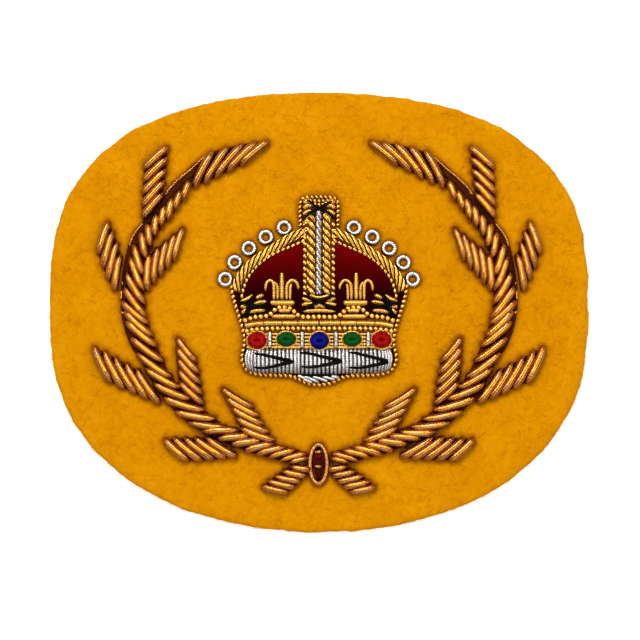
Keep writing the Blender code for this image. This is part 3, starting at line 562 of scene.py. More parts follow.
def lay_wire(name, lines, material, sides=10, pitch=COIL, depth=0.10, taper=1.0, fullness=3.0):
    """One piece of coiled wire. The depth is the share of the width that a coil's valley cuts in."""
    values = {"Sides": sides, "Coil Pitch": pitch, "Coil Depth": depth, "Taper": taper,
              "Fullness": fullness, "Material": material}
    return grow(name, edges_object(lines), COILED_WIRE, values)


def lay_thread(name, lines, material, sides=8, pitch=0.8 * MM, fullness=3.0):
    """One piece of smooth thread, cord or plain wire: a coil with no valleys."""
    return lay_wire(name, lines, material, sides, pitch, depth=0.0, fullness=fullness)


# %% [markdown]
# ## Putting a piece on the badge
#
# Each piece rides on the badge's only body and may stand for one or more of the plain solids.


# %% Helpers for meshes
def bridge(builder, rows):
    """Closes the walls between rings of points, which all have the same number."""
    for one, other in zip(rows, rows[1:]):
        for k in range(len(one)):
            after = (k + 1) % len(one)
            builder.faces.new((one[k], one[after], other[after], other[k]))


def smooth_object(name, builder, material):
    """Turns what a builder holds into a smooth object of one material."""
    for face in builder.faces:
        face.smooth = True
    mesh = bpy.data.meshes.new(name)
    builder.to_mesh(mesh)
    builder.free()
    mesh.materials.append(material)
    return show(name, mesh)


def merge(name, pieces):
    """Joins finished pieces into one object, each part keeping its material."""
    builder = bmesh.new()
    materials = []
    for piece in pieces:
        first = len(materials)
        materials += list(piece.data.materials)
        before = len(builder.faces)
        builder.from_mesh(piece.data)
        builder.faces.ensure_lookup_table()
        for face in builder.faces[before:]:
            face.material_index += first
    mesh = bpy.data.meshes.new(name)
    builder.to_mesh(mesh)
    builder.free()
    for material in materials:
        mesh.materials.append(material)
    for piece in pieces:
        bpy.data.objects.remove(piece)
    return show(name, mesh)


# %% A piece on the badge
PLACED = []


def place(piece, slot, *nodes, fill=None):
    """A finished piece rides on the badge and stands for these solids."""
    PLACED.append(piece)
    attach(piece, "root")
    if nodes:
        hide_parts(*nodes)
    print(piece.name, "has", sum(len(face.vertices) - 2 for face in piece.data.polygons), "triangles")


# %% Helpers for lines
SMOOTH_STEPS = 12


def path_length(path):
    """The length of a path from its first point to its last."""
    return sum((b - a).length for a, b in zip(path, path[1:]))


def point_along(path, distance):
    """The point that far along a path."""
    for a, b in zip(path, path[1:]):
        span = (b - a).length
        if span > 0 and distance <= span:
            return a.lerp(b, distance / span)
        distance -= span
    return path[-1].copy()


def smooth_path(points, spacing):
    """Even points about spacing apart on a smooth curve through the given ones."""
    knots = [2 * points[0] - points[1], *points, 2 * points[-1] - points[-2]]
    fine = []
    for before, start, end, after in zip(knots, knots[1:], knots[2:], knots[3:]):
        bend = 2 * before - 5 * start + 4 * end - after
        twist = 3 * start - before - 3 * end + after
        for i in range(SMOOTH_STEPS):
            t = i / SMOOTH_STEPS
            fine.append(0.5 * (2 * start + (end - before) * t + bend * t**2 + twist * t**3))
    fine.append(points[-1].copy())
    count = max(1, round(path_length(fine) / spacing))
    return [point_along(fine, path_length(fine) * i / count) for i in range(count + 1)]


def photo_path(pixels, spacing, height=0.0):
    """A smooth path through pixels of the photo."""
    return smooth_path([spot(*pixel, height) for pixel in pixels], spacing)


def across_at(path, distance):
    """The flat direction to the left of a path, that far along it."""
    before = max(0.0, distance - 0.2 * MM)
    ahead = point_along(path, distance + 0.2 * MM) - point_along(path, before)
    return Vector((-ahead.y, ahead.x, 0.0)).normalized()


def lifted(points, heights):
    """The same points at heights of their own."""
    return [Vector((p.x, p.y, height)) for p, height in zip(points, heights)]


def at_height(points, height):
    """The same points, all at one height."""
    return lifted(points, [height] * len(points))


def mirrored_lines(lines, side):
    """Lines of the left half as they are, or their twins where side is 1."""
    return [line._replace(points=on_side(line.points, side)) for line in lines]


# %% [markdown]
# ## The felt
#
# The patch is thick wool felt, cut with scissors. It is built as rings of points that shrink from the
# cut edge to the middle, on the outline that the plain solid has: squarer at the top corners than at
# the bottom ones. Noise pushes the surface up and down by a few hundredths of a millimetre and lets the
# cut wander a little. The nap comes after it, as thousands of short bent fibres that Geometry Nodes
# scatter over the face and the cut edge.

# %% The cut edge
FELT_WIDTH = 84.0 * MM
FELT_LENGTH = 68.6 * MM
CORNERS = {1: (2.3, 2.95), -1: (2.05, 2.5)}
CUT_STEPS = 1000
EDGE_POINTS = 560
CUT_WAVER = 0.10 * MM


def felt_outline(angle):
    """A point of the cut edge. The exponents make each corner rounder or squarer."""
    across, up = math.cos(angle), math.sin(angle)
    bulge, flatness = CORNERS[1 if up > 0 else -1]
    x = math.copysign(abs(across) ** (2 / bulge), across) * FELT_WIDTH / 2
    y = math.copysign(abs(up) ** (2 / flatness), up) * FELT_LENGTH / 2
    return Vector((x, y, 0.0))


def cut_points():
    """The cut edge in even steps, with the small waver of the scissors."""
    round_it = [felt_outline(2 * math.pi * i / CUT_STEPS) for i in range(CUT_STEPS)]
    spans = [(b - a).length for a, b in zip(round_it, round_it[1:] + round_it[:1])]
    points, travelled, i = [], 0.0, 0
    for k in range(EDGE_POINTS):
        goal = sum(spans) * k / EDGE_POINTS
        while travelled + spans[i] < goal:
            travelled += spans[i]
            i += 1
        after = round_it[(i + 1) % CUT_STEPS]
        points.append(round_it[i].lerp(after, (goal - travelled) / spans[i]))
    for k, p in enumerate(points):
        waver = 1.0 + 2.0 * noise.noise(p * 260) + noise.noise(p * 900)
        points[k] = p * (1.0 - CUT_WAVER / p.length * waver)
    return points


# %% The felt's sheet
SIDE_RINGS = (
    (0.55, 0.0), (0.12, 0.12), (0.0, 0.5), (0.0, 1.3),
    (0.03, 2.0), (0.14, 2.35), (0.38, 2.55), (0.75, 2.6),
)
FACE_RINGS = 100


def felt_ring(builder, edge, ring):
    """A ring of the face, from 1 next to the cut edge to FACE_RINGS in the middle."""
    share = 1.0 - (ring / FACE_RINGS) ** 0.9
    row = []
    for p in edge:
        at = p * (1.0 - SIDE_RINGS[-1][0] * MM / p.length) * share
        lift = 0.05 * noise.noise(at * 700) + 0.035 * noise.noise(at * 1900)
        row.append(builder.verts.new((at.x, at.y, FACE_HEIGHT + lift * MM)))
    return row


def felt_sheet(edge):
    """The whole patch, closed below."""
    builder = bmesh.new()
    rows = []
    for inset, height in SIDE_RINGS:
        rows.append([])
        for p in edge:
            fuzz = 0.06 * noise.noise(Vector((p.x * 1100, p.y * 1100, height * 2.0)))
            at = p * (1.0 - (inset + fuzz) * MM / p.length)
            rows[-1].append(builder.verts.new((at.x, at.y, height * MM)))
    rows += [felt_ring(builder, edge, ring) for ring in range(1, FACE_RINGS)]
    bridge(builder, rows)
    middle = builder.verts.new((0.0, 0.0, FACE_HEIGHT))
    under = builder.verts.new((0.0, 0.0, 0.0))
    for k in range(EDGE_POINTS):
        after = (k + 1) % EDGE_POINTS
        builder.faces.new((rows[-1][k], rows[-1][after], middle))
        builder.faces.new((rows[0][after], rows[0][k], under))
    return smooth_object("felt", builder, FELT)


felt_edge = cut_points()
felt = felt_sheet(felt_edge)
felt.data.attributes.new("tone", "FLOAT", "POINT")
place(felt, "felt", "felt_patch")

# %% The nap of the felt
FACING_DOWN = -0.3
FIBRE_TURNS = ((-0.25, -0.25, 0.0), (0.25, 0.10, 2 * math.pi))


def nap_tree():
    """Scatters bent fibres over the upper side of a mesh, and lets none go below the floor."""
    tree, given, out = new_tree("Nap", {
        "Density": "Float", "Fibre Length": "Float", "Fibre Width": "Float",
        "Seed": "Int", "Material": "Material",
    })
    normal = add(tree, "GeometryNodeInputNormal")
    upward = calc(tree, "GREATER_THAN", parts_of(tree, normal.outputs["Normal"])["Z"], FACING_DOWN)
    spots = step(tree, "GeometryNodeDistributePointsOnFaces", given["Geometry"], None,
                 Selection=upward, Density=given["Density"], Seed=given["Seed"])

    long = given["Fibre Length"]
    end = vector_of(tree, long, calc(tree, "MULTIPLY", long, 0.3))
    middle = vector_of(tree, calc(tree, "MULTIPLY", long, 0.5), 0.0, calc(tree, "MULTIPLY", long, 0.13))
    arc = feed(tree, "GeometryNodeCurveQuadraticBezier", 3, (0.0, 0.0, 0.0), middle, end)
    fibre = sweep(tree, arc, 3, calc(tree, "DIVIDE", given["Fibre Width"], 2.0))

    spin = feed(tree, "FunctionNodeRandomValue", *FIBRE_TURNS, data_type="FLOAT_VECTOR")
    spin = feed(tree, "FunctionNodeEulerToRotation", spin)
    upright = spots.node.outputs["Rotation"]
    turned = feed(tree, "FunctionNodeRotateRotation", upright, spin, rotation_space="LOCAL")
    fibres = step(tree, "GeometryNodeInstanceOnPoints", spots, None,
                  Instance=fibre, Rotation=turned, Scale=chance(tree, 0.5, 1.3))
    fibres = store(tree, fibres, "tone", chance(tree, -0.3, 1.2), "INSTANCE")
    nap = step(tree, "GeometryNodeRealizeInstances", fibres)

    here = parts_of(tree, add(tree, "GeometryNodeInputPosition").outputs[0])
    above = vector_of(tree, here["X"], here["Y"], calc(tree, "MAXIMUM", here["Z"], 0.05 * MM))
    nap = step(tree, "GeometryNodeSetPosition", nap, None, Position=above)
    join(tree, step(tree, "GeometryNodeSetMaterial", nap, None, Material=given["Material"]), out["Geometry"])
    return tree


NAP_VALUES = {
    "Density": 1.1e6, "Fibre Length": 1.1 * MM, "Fibre Width": 0.035 * MM, "Seed": 3, "Material": FELT,
}
nap = grow("felt_nap", show("ground", felt.data.copy()), nap_tree(), NAP_VALUES)
place(nap, "felt")

# %% [markdown]
# ## The wreath
#
# Each branch is a stem and nine leaves, and each of those is a row of cut bullion laid slanting over a
# padding of dark red cord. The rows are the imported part's own: a table gives the first and the last
# strip of every leaf, and the stem has a strip wherever its table says. A strip dives to the felt at
# both ends, swells over the padding, and bows a little. The right branch is the left one mirrored.

# %% The branch's tables, as shares of the wreath's size
WREATH_HALF = 34.9 * MM
WREATH_HEIGHT = 54.3 * MM
WREATH_FOOT = -27.9 * MM
STRIP_LENGTH = 5.6 * MM

LEAF_COLUMNS = "name base_x base_y tip_x tip_y base_turn tip_turn base_long tip_long swell strips"
Leaf = namedtuple("Leaf", LEAF_COLUMNS)
LEAVES = (
    Leaf("leaf_top", 0.512, 0.923, 0.286, 0.970, 62, 39, 1.14, 0.99, 0.15, 5),
    Leaf("leaf_upper_outer", 0.739, 0.819, 0.723, 0.956, 51, 43, 0.87, 0.88, 0.05, 5),
    Leaf("leaf_middle_outer", 0.895, 0.628, 0.956, 0.728, 80, 72, 1.01, 0.91, 0.10, 4),
    Leaf("leaf_middle_inner", 0.758, 0.628, 0.623, 0.710, 86, 73, 1.00, 0.98, 0.03, 5),
    Leaf("leaf_lower_outer", 0.759, 0.304, 0.961, 0.367, -55, -64, 1.13, 1.11, 0.06, 5),
    Leaf("leaf_lower_inner", 0.565, 0.285, 0.588, 0.409, -42, -50, 0.94, 0.87, 0.07, 5),
    Leaf("leaf_foot_outer", 0.433, 0.130, 0.634, 0.123, -31, -41, 1.03, 0.89, 0.06, 5),
    Leaf("leaf_foot_inner", 0.272, 0.167, 0.362, 0.271, -21, -32, 0.98, 1.01, 0.04, 5),
    Leaf("leaf_stalk_end", 0.082, 0.070, 0.195, 0.010, -9, -13, 0.51, 0.73, 0.10, 5),
)
StemStrip = namedtuple("StemStrip", "x y turn long")
STEM = [StemStrip(*row) for row in (
    (0.091, 0.090, 13, 0.49), (0.114, 0.099, 15, 0.77), (0.163, 0.109, 14, 0.74),
    (0.214, 0.117, 12, 0.80), (0.267, 0.127, 12, 0.80), (0.325, 0.140, 7, 0.84),
    (0.380, 0.154, 5, 0.88), (0.439, 0.173, 0, 0.97), (0.494, 0.194, -6, 1.07),
    (0.548, 0.222, -11, 1.16), (0.600, 0.254, -18, 1.22), (0.653, 0.290, -24, 1.17),
    (0.693, 0.327, -29, 1.11), (0.730, 0.364, -36, 1.15), (0.761, 0.409, -37, 1.12),
    (0.786, 0.454, -40, 1.11), (0.800, 0.483, -43, 1.03), (0.816, 0.515, -42, 0.96),
    (0.816, 0.545, -54, 1.08), (0.815, 0.584, -59, 1.01), (0.809, 0.626, -69, 0.98),
    (0.801, 0.664, -75, 0.86), (0.778, 0.706, -81, 0.68), (0.754, 0.736, -85, 0.59),
    (0.726, 0.764, -95, 0.57), (0.694, 0.790, -99, 0.55), (0.662, 0.810, -102, 0.57),
    (0.628, 0.835, -109, 0.51), (0.591, 0.863, -111, 0.49),
)]


def wreath_point(x, y):
    """A place on the left branch, from shares of the wreath's size."""
    return Vector((-x * WREATH_HALF, WREATH_FOOT + y * WREATH_HEIGHT, 0.0))


# %% The strips of a branch
Strip = namedtuple("Strip", "middle turn length")


def leaf_strips(leaf):
    """A leaf's strips, evenly from its base to its tip."""
    base, tip = wreath_point(leaf.base_x, leaf.base_y), wreath_point(leaf.tip_x, leaf.tip_y)
    strips = []
    for i in range(leaf.strips):
        t = i / (leaf.strips - 1)
        long = leaf.base_long + (leaf.tip_long - leaf.base_long) * t + leaf.swell * 4 * t * (1 - t)
        turn = leaf.base_turn + (leaf.tip_turn - leaf.base_turn) * t
        strips.append(Strip(base.lerp(tip, t), turn, long * STRIP_LENGTH))
    return strips


branch = [Strip(wreath_point(row.x, row.y), row.turn, row.long * STRIP_LENGTH) for row in STEM]
print("A branch has", len(branch) + sum(leaf.strips for leaf in LEAVES), "strips")

# %% A strip of bullion and the padding below it
BOW = 0.045
STRIP_FOOT = FACE_HEIGHT + 0.12 * MM
STRIP_STEPS = 14
CORD_FOOT = FACE_HEIGHT - 0.3 * MM
CORD_STEP = 0.8 * MM


def strip_place(strip, t, crest, foot=STRIP_FOOT):
    """A place on a strip's middle line, from -1 at its outer end to 1 at its inner end."""
    turn = math.radians(strip.turn)
    reach = Vector((math.cos(turn), math.sin(turn), 0.0))
    aside = Vector((-reach.y, reach.x, 0.0)) * math.copysign(1.0, strip.turn)
    swell = max(0.0, 1.0 - abs(t) ** 3.4)
    place = strip.middle + reach * (t * strip.length / 2) + aside * (BOW * strip.length * swell)
    place.z = foot + (crest - foot) * swell**0.8
    return place


def strip_wire(strip, half, crest):
    """A cut length of bullion with a small chance turn, length and width."""
    turn = strip.turn + random.uniform(-1.2, 1.2)
    loose = strip._replace(turn=turn, length=strip.length * random.uniform(0.98, 1.03))
    points = [strip_place(loose, 2 * i / STRIP_STEPS - 1.0, crest) for i in range(STRIP_STEPS + 1)]
    return wire_line(points, half * random.uniform(0.96, 1.04))


def padding_cords(strips, half, crest, shares, drop):
    """Soft cords under a row of strips, which run the way that the branch grows."""
    lines = []
    for t in shares:
        points = [strip_place(strip, t, crest - drop, CORD_FOOT) for strip in strips]
        points = [points[0].lerp(points[1], -0.15), *points[1:-1], points[-1].lerp(points[-2], -0.15)]
        lines.append(wire_line(smooth_path(points, CORD_STEP), half, random.uniform(0.1, 0.7)))
    return lines


# %% Leaves and stems
LEAF_HALF = 0.68 * MM
STALK_HALF = 0.58 * MM
LEAF_CREST = 3.85 * MM
STEM_HALF = 0.66 * MM
STEM_CREST = 4.0 * MM
NARROW_HALF = 0.46 * MM
NARROW_STRIPS = 5
PADDING_HALF = 0.50 * MM
PADDING_DROP = 0.90 * MM
UNDER_SHARES = (-0.72, -0.36, 0.0, 0.36, 0.72)


def stem_half(strip, index):
    """The strips are finer close to the tie and where the branch thins out at its top."""
    fine = min(1.0, 0.86 + 0.26 * strip.length / STRIP_LENGTH)
    if index >= NARROW_STRIPS:
        return STEM_HALF * fine
    return NARROW_HALF + (STEM_HALF - NARROW_HALF) * min(1.0, index / (NARROW_STRIPS - 1)) * fine


def bullion(name, node, side, strips, halves, crest, cord_fullness, **coil):
    """A row of strips on its padding, as one piece."""
    lines = [strip_wire(strip, half, crest) for strip, half in zip(strips, halves)]
    wires = lay_wire("strips", mirrored_lines(lines, side), OLD_GOLD, fullness=6.0, **coil)
    cords = padding_cords(strips, PADDING_HALF, crest, UNDER_SHARES, PADDING_DROP)
    cords = lay_thread("cords", mirrored_lines(cords, side), MAROON, fullness=cord_fullness)
    place(merge(name, [wires, cords]), "old_gold", node)


for side_name, side in SIDES:
    for leaf in LEAVES:
        node = leaf.name + "_" + side_name
        halves = [STALK_HALF if leaf.name == "leaf_stalk_end" else LEAF_HALF] * leaf.strips
        bullion("bullion_" + node, node, side, leaf_strips(leaf), halves, LEAF_CREST, 8.0,
                pitch=0.38 * MM, depth=0.025)
    node = "stem_" + side_name
    halves = [stem_half(strip, index) for index, strip in enumerate(branch)]
    bullion("bullion_" + node, node, side, branch, halves, STEM_CREST, 20.0, depth=0.0)

# %% [markdown]
# ### The dark edge of the branch
#
# From the middle of the branch upwards its outer side shows bare padding: dark cords, and along the
# upper part of the very edge a thin twisted strand of gold, which a leaf interrupts. Further down the
# strand has sunk in, and only three chips of it glint. The cords fill the room between the edge, which
# is placed by the photo, and the outer ends of the strips.

# %% The edge and what it is next to
EDGE = [spot(*pixel) for pixel in (
    (206, 156), (203, 158), (197, 163.5), (190, 170), (180, 178), (170, 188), (163, 198), (152, 211),
    (142, 224), (133.5, 235), (129, 246), (125.5, 260), (122.5, 278), (121.5, 297), (122, 313),
    (125, 328), (130, 342), (136, 354),
)]
GOLD_PARTS = ([*EDGE[:6], spot(165.5, 195)], [spot(142.5, 223.5), *EDGE[9:11]])
EDGE_CHIPS = (
    ((121.6, 281), (122.9, 285)), ((120.9, 290), (121.6, 294.5), (120.8, 299.5)),
    ((121, 311.2), (124, 313.8)),
)
EDGE_STEP = 0.4 * MM
EDGE_CORDS = ((0.10, 2.75 * MM), (0.46, 2.95 * MM), (0.82, 3.15 * MM))
THINNEST_CORD = 0.22 * MM
STRAND_LEAD = 1.1
STRAND_STEP = 0.12
STRAND_OFFSET = 0.12
STRAND_HEIGHT = 3.0

edge_line = smooth_path(EDGE, EDGE_STEP)
strip_ends = [strip_place(strip, -0.8, STEM_CREST) for strip in branch[12:]][::-1]
inner_path = smooth_path(at_height(strip_ends, 0.0), EDGE_STEP)


def nearest(path, point):
    """The point of a path that is closest to the given one."""
    return min(path, key=lambda p: (p - point).length_squared)


# %% The edge's cords and gold
def edge_cords():
    """Three dark cords between the edge and the strips, higher and thinner towards the strips."""
    pairs = [(p, nearest(inner_path, p)) for p in edge_line]
    halves = []
    for i, (p, q) in enumerate(pairs):
        halves.append(max(THINNEST_CORD, 0.24 * (p - q).length) * min(1.0, 0.3 + i / 14))
    lines = []
    for share, height in EDGE_CORDS:
        lines.append(wire_line(at_height([p.lerp(q, share) for p, q in pairs], height), halves, 0.0))
    return lines


def edge_gold():
    """Two fine wires wound round each other along the upper edge, and the chips below."""
    lines = []
    for part in GOLD_PARTS:
        for phase in (0.0, math.pi):
            points = []
            for i, p in enumerate(smooth_path(part, STRAND_STEP * MM)):
                turn = phase + i * STRAND_STEP * 2 * math.pi / STRAND_LEAD
                height = (STRAND_HEIGHT + STRAND_OFFSET * math.sin(turn)) * MM
                points.append(Vector((p.x + STRAND_OFFSET * MM * math.cos(turn), p.y, height)))
            lines.append(wire_line(points, 0.15 * MM, 0.6))
    for chip in EDGE_CHIPS:
        lines.append(wire_line(photo_path(chip, 0.15 * MM, 3.12 * MM), 0.19 * MM, 0.7))
    return lines


for side_name, side in SIDES:
    cords = mirrored_lines(edge_cords(), side)
    cords = lay_wire("cords", cords, BROWN, sides=8, pitch=0.45 * MM, fullness=20.0)
    gold = mirrored_lines(edge_gold(), side)
    gold = lay_thread("gold", gold, OLD_GOLD, sides=6, pitch=0.48 * MM, fullness=20.0)
    place(merge("edge_cord_" + side_name, [cords, gold]), "maroon_thread", "stem_cord_" + side_name)

# %% [markdown]
# ### The tie
#
# Where the branches cross, one oval loop of wire goes round a small padded lozenge of dark thread. A
# short row of red silk shines in its upper half, between two cut chips of gold.

# %% The tie's loop
TIE_MIDDLE = spot(318.5, 464.0)
TIE_REACH = (1.33 * MM, 3.02 * MM)


def oval(middle, reach, height, count=48):
    """Points of an oval with these half sizes."""
    points = []
    for i in range(count):
        turn = 2 * math.pi * i / count
        x, y = reach[0] * math.cos(turn), reach[1] * math.sin(turn)
        points.append(Vector((middle.x + x, middle.y + y, height)))
    return points


loop = wire_line(oval(TIE_MIDDLE, TIE_REACH, 3.25 * MM), 0.45 * MM, 0.75, True)
loop = lay_wire("tie_wire", [loop], OLD_GOLD, sides=12, pitch=0.34 * MM, taper=0.0)
place(loop, "old_gold", "tie_loop")

# %% The lozenge, its shine and its chips
LOZENGE_REACH = (0.80, 2.70)
SHINE_ROWS = (453.0, 454.6, 456.2, 457.8, 459.4)
FROM_END_TO_END = (-1.0, -0.5, 0.0, 0.5, 1.0)

threads = []
for i in range(9):
    aside = i / 4 - 1.0
    reach = LOZENGE_REACH[1] * MM * math.sqrt(max(0.05, 1.0 - aside**2 * 0.92))
    points = []
    for k in range(9):
        t = k / 4 - 1.0
        height = 2.75 + 0.65 * (1.0 - t * t) * (1.0 - 0.55 * aside**2)
        x = TIE_MIDDLE.x + aside * LOZENGE_REACH[0] * MM * (1.0 - 0.35 * t * t)
        points.append(Vector((x, TIE_MIDDLE.y + t * reach, height * MM)))
    threads.append(wire_line(points, 0.14 * MM, 0.15))
lozenge = lay_thread("lozenge", threads, MAROON, pitch=0.6 * MM)

shine = []
for i in range(4):
    aside = i / 1.5 - 1.0
    points = []
    for row, t in zip(SHINE_ROWS, FROM_END_TO_END):
        height = 3.32 + 0.42 * (1.0 - t * t) - 0.10 * aside**2
        points.append(spot(318.4, row) + Vector((aside * 0.36 * MM, 0.0, height * MM)))
    shine.append(wire_line(points, 0.16 * MM, -0.6))
shine = lay_thread("shine", shine, RED, pitch=0.5 * MM)

chips = []
for row, lean in ((451.8, 0.06), (466.2, -0.06)):
    bow = [Vector((t * 0.55 * MM, t * lean * MM, (3.82 - 0.20 * t * t) * MM)) for t in FROM_END_TO_END]
    chips.append(wire_line([spot(318.2, row) + p for p in bow], 0.33 * MM, 1.0))
chips = lay_wire("chips", chips, OLD_GOLD, pitch=0.25 * MM)
place(merge("tie_lozenge", [lozenge, shine, chips]), "maroon_thread", "tie_padding", fill=0.8)

# %% [markdown]
# ## The crown's velvet
#
# The crown stands on a pad of crimson velvet. Its outline is the inside of the beaded wire round the
# crown. The wires over it press it down, and between them it swells. So the pad starts as the outline
# filled with small squares, and each point rises with its distance from the nearest wire. The same rule
# rounds its edge.

# %% The crown's outline, as shares of its size
CROWN_HALF = 13.535 * MM
CROWN_HEIGHT = 29.24 * MM
CROWN_FOOT = -11.18 * MM
VELVET_FACE = 3.9 * MM
OUTLINE_STEP = 0.4 * MM

BASE_EDGE = (
    (0.000, 0.000), (0.103, 0.005), (0.184, 0.019), (0.253, 0.035), (0.356, 0.048), (0.540, 0.051),
    (0.701, 0.056), (0.805, 0.072), (0.862, 0.100), (0.885, 0.141), (0.868, 0.184), (0.851, 0.226),
    (0.862, 0.274), (0.885, 0.316), (0.925, 0.375), (0.966, 0.434), (0.996, 0.490), (0.998, 0.520),
)
ARCH_EDGE = (
    (0.998, 0.520), (0.977, 0.556), (0.908, 0.606), (0.828, 0.654), (0.724, 0.699), (0.609, 0.734),
    (0.483, 0.766), (0.356, 0.795), (0.207, 0.824),
)
BLOCK_EDGE = (
    (0.207, 0.824), (0.213, 0.864), (0.215, 0.918), (0.213, 0.960), (0.198, 0.983), (0.168, 0.991),
    (0.100, 0.994), (0.0, 0.995),
)


def crown_point(x, y):
    """A place on the left half of the crown, from shares of its size."""
    return Vector((-x * CROWN_HALF, CROWN_FOOT + y * CROWN_HEIGHT, 0.0))


def edge_path(shares):
    """A smooth path through shares of the crown's size."""
    return smooth_path([crown_point(*share) for share in shares], OUTLINE_STEP)


def across_the_middle(left):
    """A path down the left side and up the right one, from a left side that starts at the middle."""
    return left[::-1] + twin(left[1:])


# %% What presses the velvet down
PAD_GRID = 0.34 * MM
PAD_INSET = 0.36 * MM
PAD_SWELL = 0.42 * MM
PAD_SHOULDER = 0.8 * MM
PAD_SOFTNESS = 1.3 * MM
PAD_ROOT = FACE_HEIGHT - 0.2 * MM

ARCH_WIRE = [spot(*p) for p in (
    (303, 241), (291, 246.5), (282, 250), (272, 255), (262.5, 261.5), (255.5, 268), (248.5, 277),
    (244.5, 286), (242, 296),
)]


def inside(outline, p):
    """Counts the crossings of the outline to the right of a point."""
    crossings = 0
    for a, b in zip(outline, outline[1:] + outline[:1]):
        if (a.y > p.y) != (b.y > p.y) and p.x < a.x + (b.x - a.x) * (p.y - a.y) / (b.y - a.y):
            crossings += 1
    return crossings % 2 == 1


def near_finder(paths):
    """A quick search for the nearest of many points on these paths."""
    points = [p for path in paths for p in path]
    finder = kdtree.KDTree(len(points))
    for i, p in enumerate(points):
        finder.insert(Vector((p.x, p.y, 0.0)), i)
    finder.balance()
    return finder


pad_left = edge_path(BASE_EDGE) + edge_path(ARCH_EDGE)[1:] + edge_path(BLOCK_EDGE)[1:]
pad_outline = pad_left[::-1] + twin(pad_left[1:-1])
pad_rim = near_finder([pad_outline])
pad_arch = smooth_path(ARCH_WIRE, 0.3 * MM)
posts = [[spot(column, row) for row in range(200, 296)] for column in (304, 311, 319, 326, 333.5)]
band = [[spot(column, row) for column in range(244, 394)] for row in (316, 330, 349)]
pad_wires = near_finder([pad_outline, pad_arch, twin(pad_arch), *posts, *band])


# %% The velvet pad
def grid_place(i, j):
    """A corner of the pad's squares."""
    return Vector((-CROWN_HALF + i * PAD_GRID, CROWN_FOOT + j * PAD_GRID, 0.0))


def pad_point(i, j):
    """A point of the pad's face. Points close to the outline are pulled onto its inner side."""
    p = grid_place(i, j)
    nearest_rim, _, gap = pad_rim.find(p)
    is_in = inside(pad_outline, p)
    if gap < PAD_INSET + PAD_GRID * 0.6 or not is_in:
        inward = (p - nearest_rim) if is_in else (nearest_rim - p)
        p = nearest_rim + inward.normalized() * PAD_INSET
        gap = PAD_INSET
    swell = PAD_SWELL * (1.0 - math.exp(-pad_wires.find(p)[2] / PAD_SOFTNESS))
    shoulder = min(1.0, max(0.0, gap - PAD_INSET) / PAD_SHOULDER)
    round_over = 0.12 + 0.88 * math.sqrt(1.0 - (1.0 - shoulder) ** 2)
    return Vector((p.x, p.y, FACE_HEIGHT + (VELVET_FACE - FACE_HEIGHT) * round_over + swell))


def velvet_pad():
    """Small squares inside the outline, with a wall at their border, and closed below."""
    builder = bmesh.new()
    top, low = {}, {}
    filled = set()
    for i in range(int(2 * CROWN_HALF / PAD_GRID) + 2):
        for j in range(int(CROWN_HEIGHT / PAD_GRID) + 2):
            middle = grid_place(i + 0.5, j + 0.5)
            if pad_rim.find(middle)[2] > PAD_INSET and inside(pad_outline, middle):
                filled.add((i, j))
    for i, j in sorted(filled):
        square = ((i, j), (i + 1, j), (i + 1, j + 1), (i, j + 1))
        for key in square:
            if key not in top:
                point = pad_point(*key)
                top[key] = builder.verts.new(point)
                low[key] = builder.verts.new((point.x, point.y, PAD_ROOT))
        builder.faces.new([top[key] for key in square])
        builder.faces.new([low[key] for key in reversed(square)])
        for k, beyond in enumerate(((i, j - 1), (i + 1, j), (i, j + 1), (i - 1, j))):
            if beyond not in filled:
                a, b = square[k], square[(k + 1) % 4]
                builder.faces.new((top[b], top[a], low[a], low[b]))
    bmesh.ops.recalc_face_normals(builder, faces=builder.faces)
    return smooth_object("crimson_velvet", builder, VELVET)


place(velvet_pad(), "velvet", "velvet_pad", fill=0.7)

# %% [markdown]
# ## Pearl purl
#
# The beaded wire round the crown is pearl purl: a stiff coil pulled a little open, so that each turn
# looks like a bead. A second tree makes it. It sets one egg-shaped turn at every step along a line,
# leans it the way that the wire is wound, and runs a thin dark core through them all, which is painted
# shade in the gaps between the turns. Each turn's ends get painted shade from the finish as well.


